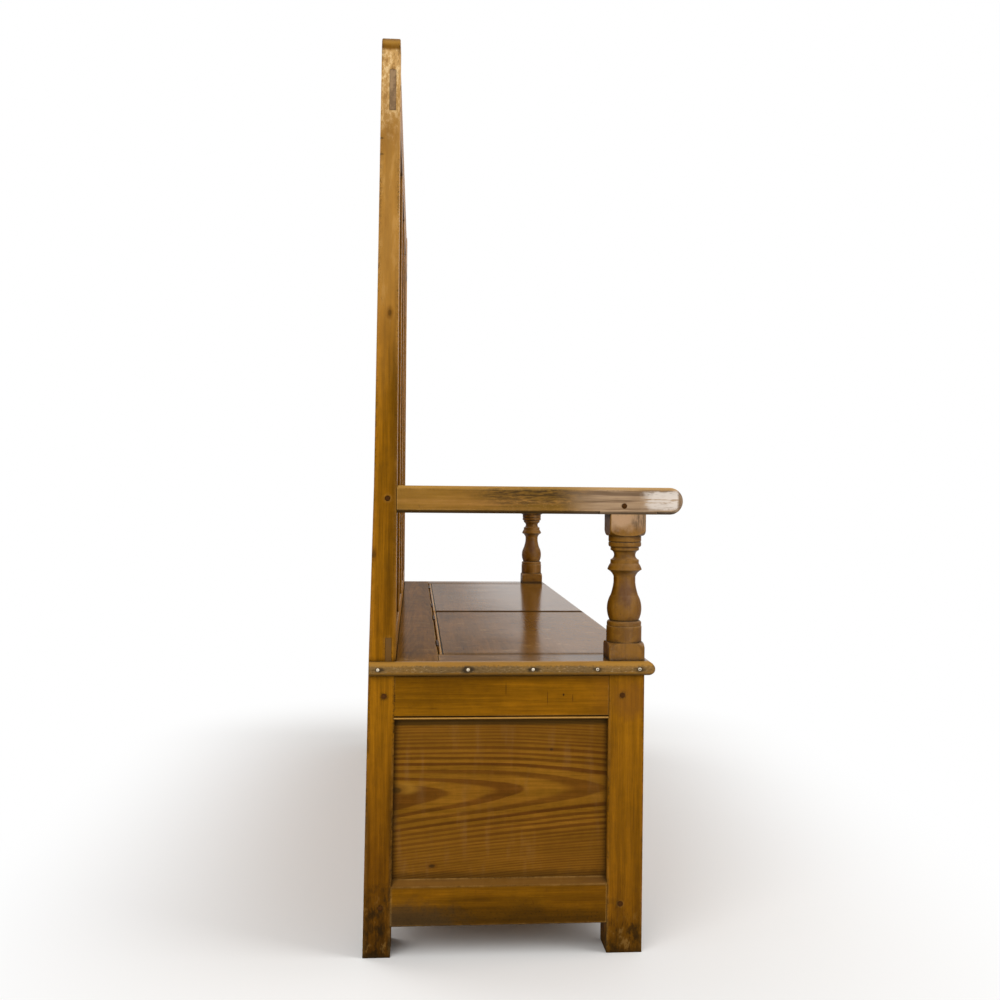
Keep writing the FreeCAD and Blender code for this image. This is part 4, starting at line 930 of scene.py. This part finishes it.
class SETTLE_OT_seat(bpy.types.Operator):
    """Finish the seat boards and the lids, polished by use"""

    bl_idname = "settle.seat"
    bl_label = "Seat"

    # Where the bead along the rear edge of a lid lies, and the groove in front of it
    BEAD = 0.1283
    GROOVE = 0.1247

    def execute(self, context):
        self.board("seat_rear_plank", "XYZ", 0.85, {})
        ends = {name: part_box(f"seat_end_board_{name}") for name in SIDES}
        lids = {name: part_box(f"seat_lid_{name}") for name in SIDES}
        # Where along X the end joints lie, and how dirty each is
        middle = {lids["left"][1].x: 0.8, lids["right"][0].x: 0.8}
        outer = {ends["left"][1].x: 0.35, ends["right"][0].x: 0.35}
        for side, lid_polish, end_polish in (("left", 1.35, 1.6), ("right", 1.85, 1.85)):
            self.board(f"seat_lid_{side}", "XYZ", lid_polish, {**middle, **outer})
            self.board(f"seat_end_board_{side}", "YXZ", end_polish, outer)
        return {"FINISHED"}

    def board(self, node, grain, polish, joints):
        """A board with dirt in its end joints, brighter and more polished towards the front."""
        look = wood(
            "seat", gloss=0.0, roughness=0.5, coat_roughness=0.13, contrast=0.4, bump=0.12, dust=0.0,
            round=0.0008, bands=0.16, streaks=0.16, clouds=0.3, flecks=0.8, nicks=0.7, wear=1.6, dirt=0.6,
            shade=0.1,
        )
        board = Board(node, grain, look)
        wires = board.wires
        front = board.near("Y", 0.13, -0.13, 0.1, "Clouds")
        shine = wires.step(front, 0.0, 1.0, 0.16 * polish, 0.36 * polish)
        board.tint(front, linear(128, 87, 34), 0.75)
        blot = wires.noise(board.place, 34.0, 5.0, 0.7)
        board.tint(wires.step(blot, 0.54, 0.68), linear(84, 54, 22), 0.5)
        board.tint(wires.step(blot, 0.44, 0.32), linear(188, 146, 84), 0.3)
        scratch = wires.noise(board.place, (340.0, 9.0, 9.0), 2.0)
        worn = board.both(wires.step(scratch, 0.68, 0.74), wires.step(board.dirt["Clouds"], 0.5, 0.56))
        board.soil(worn, 0.6)
        board.age()
        for joint, dirty in joints.items():
            away = wires.waver(wires.distance(board.xyz[0], joint), board.dirt["Mottle"], 0.01)
            caked = wires.step(away, 0.022, 0.008, 0.0, dirty)
            board.tint(caked, linear(84, 56, 20))
            board.tint(wires.step(away, 0.004, 0.0025), linear(58, 38, 12), dirty)
            shine = wires.math("MULTIPLY", shine, wires.math("MULTIPLY_ADD", caked, -0.9, 1.0))
        under = wires.step(wires.facing("Z"), -0.5, -0.9)
        inner = wood("inner")
        board.tint(under, inner["early"], 0.85)
        board.tint(board.both(under, board.rings["Late wood"]), inner["late"], 0.8)
        board.tint(board.both(under, wires.step(board.fibres["Streaks"], 0.5, 0.7)), inner["late"], 0.5)
        board.soil(board.both(under, wires.step(board.dirt["Clouds"], 0.45, 0.7)), 0.3)
        board.look["coat"] = wires.math("MULTIPLY", shine, wires.math("SUBTRACT", 1.0, under))
        if "lid" in node:
            # Painted highlight along the top of the bead, and painted shade in the groove in front of it
            edge = board.near("Z", SEAT_TOP - 0.0022, SEAT_TOP - 0.001)
            bead = board.both(board.strip("Y", self.BEAD, 0.003, 0.0008), edge)
            board.tint(bead, linear(196, 148, 82), 0.75)
            board.soil(board.strip("Y", self.GROOVE, 0.001, 0.0006), 0.9)
        board.close()


class SETTLE_OT_nosings(bpy.types.Operator):
    """Finish the nailed half-round strips along the ends of the seat"""

    bl_idname = "settle.nosings"
    bl_label = "Nosings"

    def execute(self, context):
        for side in SIDES:
            self.strip(f"end_nosing_{side}")
        return {"FINISHED"}

    def strip(self, node):
        look = wood("arm", contrast=0.5, streaks=0.2, coat=0.25, coat_roughness=0.25, dust=0.0, dents=1.1)
        board = Board(node, "YZX", look)
        wires = board.wires
        middle = (NOSING_LOW.z + NOSING_HIGH.z) / 2
        top = board.near("Z", middle + 0.003, middle + 0.007, 0.01, "Grit")
        board.tint(top, linear(176, 128, 54), 0.75)
        low = board.near("Z", middle - 0.002, middle - 0.006, 0.01, "Grit")
        board.tint(low, linear(154, 110, 36), 0.8)
        away = wires.waver(wires.distance(board.xyz[2], middle), board.dirt["Mottle"], 0.006)
        away = wires.waver(away, board.dirt["Grit"], 0.006)
        band = wires.step(away, 0.0065, 0.0035)
        grey = board.both(band, wires.step(board.dirt["Clouds"], 0.35, 0.55, 0.4, 0.9))
        board.tint(grey, linear(114, 92, 58), 0.8)
        grain = wires.noise(board.place, (1.0, 190.0, 800.0), 3.0, 0.75)
        board.tint(board.both(band, wires.step(grain, 0.56, 0.68)), linear(206, 178, 128), 0.5)
        board.soil(board.both(band, wires.step(grain, 0.44, 0.32)), 0.6)
        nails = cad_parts["nosing_nails"].data
        chance = random.Random(node)
        for solid in sorted(nail_islands(nails), key=min):
            spots = [nails.vertices[number].co for number in solid]
            centre = sum(spots, Vector()) / len(spots)
            if centre.x * board.side > 0:
                centre += Vector((0.0, chance.uniform(-0.004, 0.002), 0.0))
                reach = (0.02, chance.uniform(0.006, 0.012), chance.uniform(0.003, 0.005))
                board.soil(board.oval(centre, reach, 2.0), chance.uniform(0.2, 0.55))
        under = board.near("Z", NOSING_LOW.z + 0.005, NOSING_LOW.z + 0.001, 0.004)
        board.soil(under, 0.5)
        board.age()
        board.close()


class SETTLE_OT_inside(bpy.types.Operator):
    """Finish the bare wood inside the box and under the lids"""

    bl_idname = "settle.inside"
    bl_label = "Inside"

    def execute(self, context):
        bare = {
            "gloss": 0.1, "roughness": 0.68, "clouds": 0.5, "contrast": 0.6, "apart": 9.0, "ring": 0.7,
            "shade": 0.1,
        }
        plain_board("box_floor_boards", "inner", "YXZ", **bare)
        plain_board("floor_ledgers", "inner", "XZY", **bare)
        plain_board("seat_rear_ledger", "inner", "XZY", **bare)
        plain_board("seat_cross_bearer", "inner", "YXZ", **bare)
        for side in SIDES:
            plain_board(f"lid_battens_{side}", "inner", "YXZ", **bare)
            plain_board(f"seat_end_bearer_{side}", "inner", "YXZ", **bare)
        return {"FINISHED"}


class SETTLE_OT_pegs(bpy.types.Operator):
    """Finish the dark oak pegs"""

    bl_idname = "settle.pegs"
    bl_label = "Pegs"

    def execute(self, context):
        colours = context.scene.settle_colours
        look = {
            "early": colours.peg, "late": [level * 0.5 for level in colours.peg], "ring": 0.2,
            "apart": 9.0, "roughness": 0.5, "wear": 0.0, "edge": 0.0013, "dust": 0.0,
        }
        board = Board("joint_pegs", "XYZ", look, "oak pegs")
        board.soil(board.dirt["Wear"], 0.9)
        board.age()
        board.close()
        return {"FINISHED"}


def iron(name, polish, bright=0.0):
    """Old iron, brown where it isn't rubbed, and as bright as asked on faces that look along X."""
    colours = bpy.context.scene.settle_colours
    surface = bpy.context.scene.settle_surface
    material = bpy.data.materials.new(name)
    wires = fresh_wiring(material)
    place = wires.place()
    dirt = wires.group(dirt_and_wear(), place=place, crevice=surface.crevice / 3, edge=0.0012)
    pitted = wires.noise(place, 420.0, 4.0, 0.65)
    patch = wires.step(wires.noise(place, 90.0, 3.0, 0.6), 0.42, 0.62)
    colour = wires.blend(patch, rgba(colours.iron), rgba(colours.rust))
    colour = wires.blend(wires.step(pitted, 0.55, 0.7, 0.0, 0.6), colour, rgba(colours.grime))
    colour = wires.blend(wires.math("MULTIPLY", dirt["Wear"], polish), colour, rgba(linear(176, 168, 158)))
    facing = wires.math("ABSOLUTE", wires.facing("X", world=True))
    crown = wires.step(facing, 0.72, 0.92, 0.0, bright)
    colour = wires.blend(crown, colour, rgba(linear(236, 222, 196)))
    rough = wires.step(pitted, 0.3, 0.7, 0.34, 0.58)
    metal = wires.math("MAXIMUM", wires.step(patch, 0.0, 1.0, 0.9, 0.35), crown)
    height = wires.math("MULTIPLY_ADD", pitted, -0.25, wires.math("MULTIPLY", patch, 0.1))
    feeds = {"Base Color": colour, "Roughness": rough, "Metallic": metal}
    feeds["Normal"] = wires.bumps(height, 1.0, MM / 2, 0.0006)
    shader = wires.node("ShaderNodeBsdfPrincipled", feeds)
    wires.node("ShaderNodeOutputMaterial", {"Surface": shader.outputs[0]})
    return material


def nail_islands(mesh):
    """The solids of a mesh, each as a set of vertex numbers."""
    links = {vertex.index: set() for vertex in mesh.vertices}
    for edge in mesh.edges:
        first, second = edge.vertices
        links[first].add(second)
        links[second].add(first)
    left = set(links)
    while left:
        island = {left.pop()}
        waiting = list(island)
        while waiting:
            for other in links[waiting.pop()] & left:
                left.discard(other)
                island.add(other)
                waiting.append(other)
        yield island


class SETTLE_OT_nails(bpy.types.Operator):
    """Make the hammered, domed nails of the nosing strips in place of the plain ones"""

    bl_idname = "settle.nails"
    bl_label = "Nails"

    TURNS = 20
    SHANK = 1.3 * MM
    HEAD = 1.5 * MM

    # The steepest slope of a dome, and how deep its tilt goes
    TILT = 0.08
    TILTED = 1.2 * MM

    # The rings of the dome: how deep, in millimetres, and how wide, as a share of the head
    DOME = ((0.06, 0.22), (0.2, 0.5), (0.42, 0.76), (0.75, 0.94), (1.1, 1.0))

    def execute(self, context):
        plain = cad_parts["nosing_nails"]
        chance = random.Random("nosing nails")
        points = []
        faces = []
        solids = sorted(nail_islands(plain.data), key=min)
        for solid in solids:
            corners = [plain.data.vertices[number].co for number in solid]
            low = Vector([min(corner[axis] for corner in corners) for axis in range(3)])
            high = Vector([max(corner[axis] for corner in corners) for axis in range(3)])
            self.nail(points, faces, low, high, chance)
        mesh = bpy.data.meshes.new("domed nails")
        mesh.from_pydata(points, [], faces)
        mesh.shade_smooth()
        nails = bpy.data.objects.new("domed_nails", mesh)
        context.scene.collection.objects.link(nails)
        mesh.materials.append(iron("nail iron", 1.0, 0.9))
        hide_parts("nosing_nails")
        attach(nails, "frame")
        return {"FINISHED"}

    def nail(self, points, faces, low, high, chance):
        """One nail between the corners of the plain nail: a slightly tilted dome, its rim and its shank."""
        sign = 1 if low.x > 0 else -1
        outer, inner = (high.x, low.x) if sign > 0 else (low.x, high.x)
        centre = (low + high) / 2
        radius = (high.y - low.y) / 2
        tilt = [chance.uniform(-self.TILT, self.TILT) for axis in range(2)]
        rings = [(depth * MM, radius * reach) for depth, reach in self.DOME]
        rings.append((self.HEAD, radius * 0.96))
        rings.append((self.HEAD, self.SHANK))
        rings.append((abs(outer - inner), self.SHANK))
        start = len(points)
        for depth, reach in rings:
            for turn in range(self.TURNS):
                angle = 2 * math.pi * turn / self.TURNS
                across, up = reach * math.cos(angle), reach * math.sin(angle)
                lean = 0.0
                if depth < self.TILTED:
                    lean = sum(abs(lift) * reach + lift * spot for lift, spot in zip(tilt, (across, up)))
                points.append((outer - sign * (depth + lean), centre.y + across, centre.z + up))
        for ring in range(len(rings) - 1):
            for turn in range(self.TURNS):
                here = start + ring * self.TURNS + turn
                beside = start + ring * self.TURNS + (turn + 1) % self.TURNS
                quad = (here, beside, beside + self.TURNS, here + self.TURNS)
                faces.append(quad if sign > 0 else quad[::-1])
        first = tuple(range(start, start + self.TURNS))
        last = tuple(range(len(points) - self.TURNS, len(points)))
        faces.append(first[::-1] if sign > 0 else first)
        faces.append(last if sign > 0 else last[::-1])


class SETTLE_OT_hinges(bpy.types.Operator):
    """Finish the hinges of the lids, their pins and screws"""

    bl_idname = "settle.hinges"
    bl_label = "Hinges"

    def execute(self, context):
        screws = iron("screw iron", 0.6)
        leaves = iron("hinge iron", 0.6)
        wires = Wiring(leaves.node_tree)
        shader = next(node for node in leaves.node_tree.nodes if node.type == "BSDF_PRINCIPLED")
        place = wires.place()
        caked = wires.step(wires.noise(place, 60.0, 3.0, 0.6), 0.3, 0.5, 0.85, 1.0)
        high = wires.step(wires.split(place)[2], SEAT_TOP - 0.008, SEAT_TOP - 0.002)
        caked = wires.math("MULTIPLY", caked, high)
        bare = shader.inputs["Base Color"].links[0].from_socket
        hue = rgba(context.scene.settle_colours.hinge)
        wires.feed(shader.inputs["Base Color"], wires.blend(caked, bare, hue))
        wires.feed(shader.inputs["Metallic"], wires.step(caked, 0.2, 0.8, 0.7, 0.0))
        wires.feed(shader.inputs["Specular IOR Level"], 0.04)
        for node in ("seat_hinge_leaves", "lid_hinge_leaves_left", "lid_hinge_leaves_right"):
            paint(node, leaves)
        for node in ("hinge_pins", "seat_hinge_screws", "lid_hinge_screws_left", "lid_hinge_screws_right"):
            paint(node, screws)
        return {"FINISHED"}


class SETTLE_OT_stage(bpy.types.Operator):
    """Set the pale floor, the lamps, the white surroundings and the camera"""

    bl_idname = "settle.stage"
    bl_label = "Stage"

    # Where the camera stands, in metres, and how it is turned, in radians
    CAMERA = Vector((-2.4282, 0.1715, 0.7228))
    YAW = 0.07657
    PITCH = -0.01053
    ROLL = -0.00929

    LAMPS = {"key": (-1.3, -3.6, 2.5), "fill": (-3.9, 2.3, 2.9), "back": (2.2, 3.6, 2.4)}
    LAMP_WIDTH = 3.0
    AIM = Vector((0.0, 0.0, 0.55))

    # Half the floor's width
    FLOOR_REACH = 14.0

    # Half the bench's length and depth, round which the floor takes shadows before it fades to white
    FOOTPRINT = (0.73, 0.25, ANYWHERE)

    def execute(self, context):
        stage = context.scene.settle_stage
        self.floor(context, stage)
        self.surroundings(context, stage)
        for name, place in self.LAMPS.items():
            self.lamp(context, name + "_lamp", place, getattr(stage, name))
        self.camera(context, stage)
        context.scene.view_settings.view_transform = "Standard"
        return {"FINISHED"}

    def seen(self, wires):
        """1 for rays that show the surroundings: straight, mirrored or through glass."""
        path = wires.node("ShaderNodeLightPath").outputs
        seen = wires.math("MAXIMUM", path["Is Camera Ray"], path["Is Glossy Ray"])
        return wires.math("MAXIMUM", seen, path["Is Transmission Ray"])

    def floor(self, context, stage):
        reach = self.FLOOR_REACH
        mesh = bpy.data.meshes.new("floor")
        corners = [(-reach, -reach, 0), (reach, -reach, 0), (reach, reach, 0), (-reach, reach, 0)]
        mesh.from_pydata(corners, [], [(0, 1, 2, 3)])
        floor = bpy.data.objects.new("floor", mesh)
        context.scene.collection.objects.link(floor)
        material = bpy.data.materials.new("pale floor")
        wires = fresh_wiring(material)
        outside = wires.vector("SUBTRACT", wires.vector("ABSOLUTE", wires.place()), self.FOOTPRINT)
        away = wires.vector("LENGTH", wires.vector("MAXIMUM", outside, (0.0, 0.0, 0.0)))
        far = wires.step(away, 0.05, 0.75)
        matt = wires.node("ShaderNodeBsdfDiffuse", {"Color": rgba(stage.floor)}).outputs[0]
        white = wires.node("ShaderNodeEmission", {"Color": (1, 1, 1, 1), "Strength": 1.0}).outputs[0]
        share = wires.math("MULTIPLY", far, self.seen(wires))
        mixed = wires.node("ShaderNodeMixShader", {0: share, 1: matt, 2: white}).outputs[0]
        wires.node("ShaderNodeOutputMaterial", {"Surface": mixed})
        mesh.materials.append(material)

    def surroundings(self, context, stage):
        world = bpy.data.worlds.new("white surroundings")
        context.scene.world = world
        wires = fresh_wiring(world)
        seen = self.seen(wires)
        strength = wires.math("MULTIPLY_ADD", seen, 1.0 - stage.ambient, stage.ambient)
        sky = wires.node("ShaderNodeBackground", {"Color": (1, 1, 1, 1), "Strength": strength}).outputs[0]
        wires.node("ShaderNodeOutputWorld", {"Surface": sky})

    def lamp(self, context, name, place, power):
        data = bpy.data.lights.new(name, "AREA")
        data.shape = "SQUARE"
        data.size = self.LAMP_WIDTH
        data.energy = power
        lamp = bpy.data.objects.new(name, data)
        context.scene.collection.objects.link(lamp)
        lamp.location = place
        lamp.rotation_euler = (self.AIM - lamp.location).to_track_quat("-Z", "Y").to_euler()

    def camera(self, context, stage):
        data = bpy.data.cameras.new("camera")
        data.sensor_width = 36.0
        data.lens = stage.lens
        camera = bpy.data.objects.new("camera", data)
        context.scene.collection.objects.link(camera)
        level = math.cos(self.PITCH)
        ahead = Vector((level * math.cos(self.YAW), -level * math.sin(self.YAW), math.sin(self.PITCH)))
        right = Vector((-math.sin(self.YAW), -math.cos(self.YAW), 0.0))
        up = right.cross(ahead)
        tilted_right = right * math.cos(self.ROLL) - up * math.sin(self.ROLL)
        tilted_up = right * math.sin(self.ROLL) + up * math.cos(self.ROLL)
        turn = Matrix((tilted_right, tilted_up, -ahead)).transposed().to_4x4()
        camera.matrix_world = Matrix.Translation(self.CAMERA) @ turn
        context.scene.camera = camera


STEPS = (
    SETTLE_OT_rear_posts,
    SETTLE_OT_front_posts,
    SETTLE_OT_back,
    SETTLE_OT_arms,
    SETTLE_OT_box_frames,
    SETTLE_OT_box_panels,
    SETTLE_OT_seat,
    SETTLE_OT_nosings,
    SETTLE_OT_inside,
    SETTLE_OT_pegs,
    SETTLE_OT_nails,
    SETTLE_OT_hinges,
    SETTLE_OT_stage,
)


class SETTLE_PT_sidebar(bpy.types.Panel):
    """Lists the finishes and the steps that lay them on"""

    bl_idname = "SETTLE_PT_sidebar"
    bl_label = "Settle bench"
    bl_space_type = "VIEW_3D"
    bl_region_type = "UI"
    bl_category = "Settle"

    def draw(self, context):
        scene = context.scene
        for title, group in (
            ("Colours", scene.settle_colours),
            ("Surface", scene.settle_surface),
            ("Stage", scene.settle_stage),
        ):
            column = self.layout.column()
            column.label(text=title)
            for name in group.bl_rna.properties.keys():
                if name not in ("rna_type", "name"):
                    column.prop(group, name)
        for step in STEPS:
            self.layout.operator(step.bl_idname)


GROUPS = {
    "settle_colours": SettleColours,
    "settle_surface": SettleSurface,
    "settle_stage": SettleStage,
}
CLASSES = (*GROUPS.values(), *STEPS, SETTLE_PT_sidebar)


def register():
    for part in CLASSES:
        bpy.utils.register_class(part)
    for name, group in GROUPS.items():
        setattr(bpy.types.Scene, name, PointerProperty(type=group))


def unregister():
    for name in GROUPS:
        delattr(bpy.types.Scene, name)
    for part in reversed(CLASSES):
        bpy.utils.unregister_class(part)


def main():
    register()
    for step in STEPS:
        getattr(bpy.ops.settle, step.bl_idname.split(".")[1])()


if __name__ == "__main__":
    main()
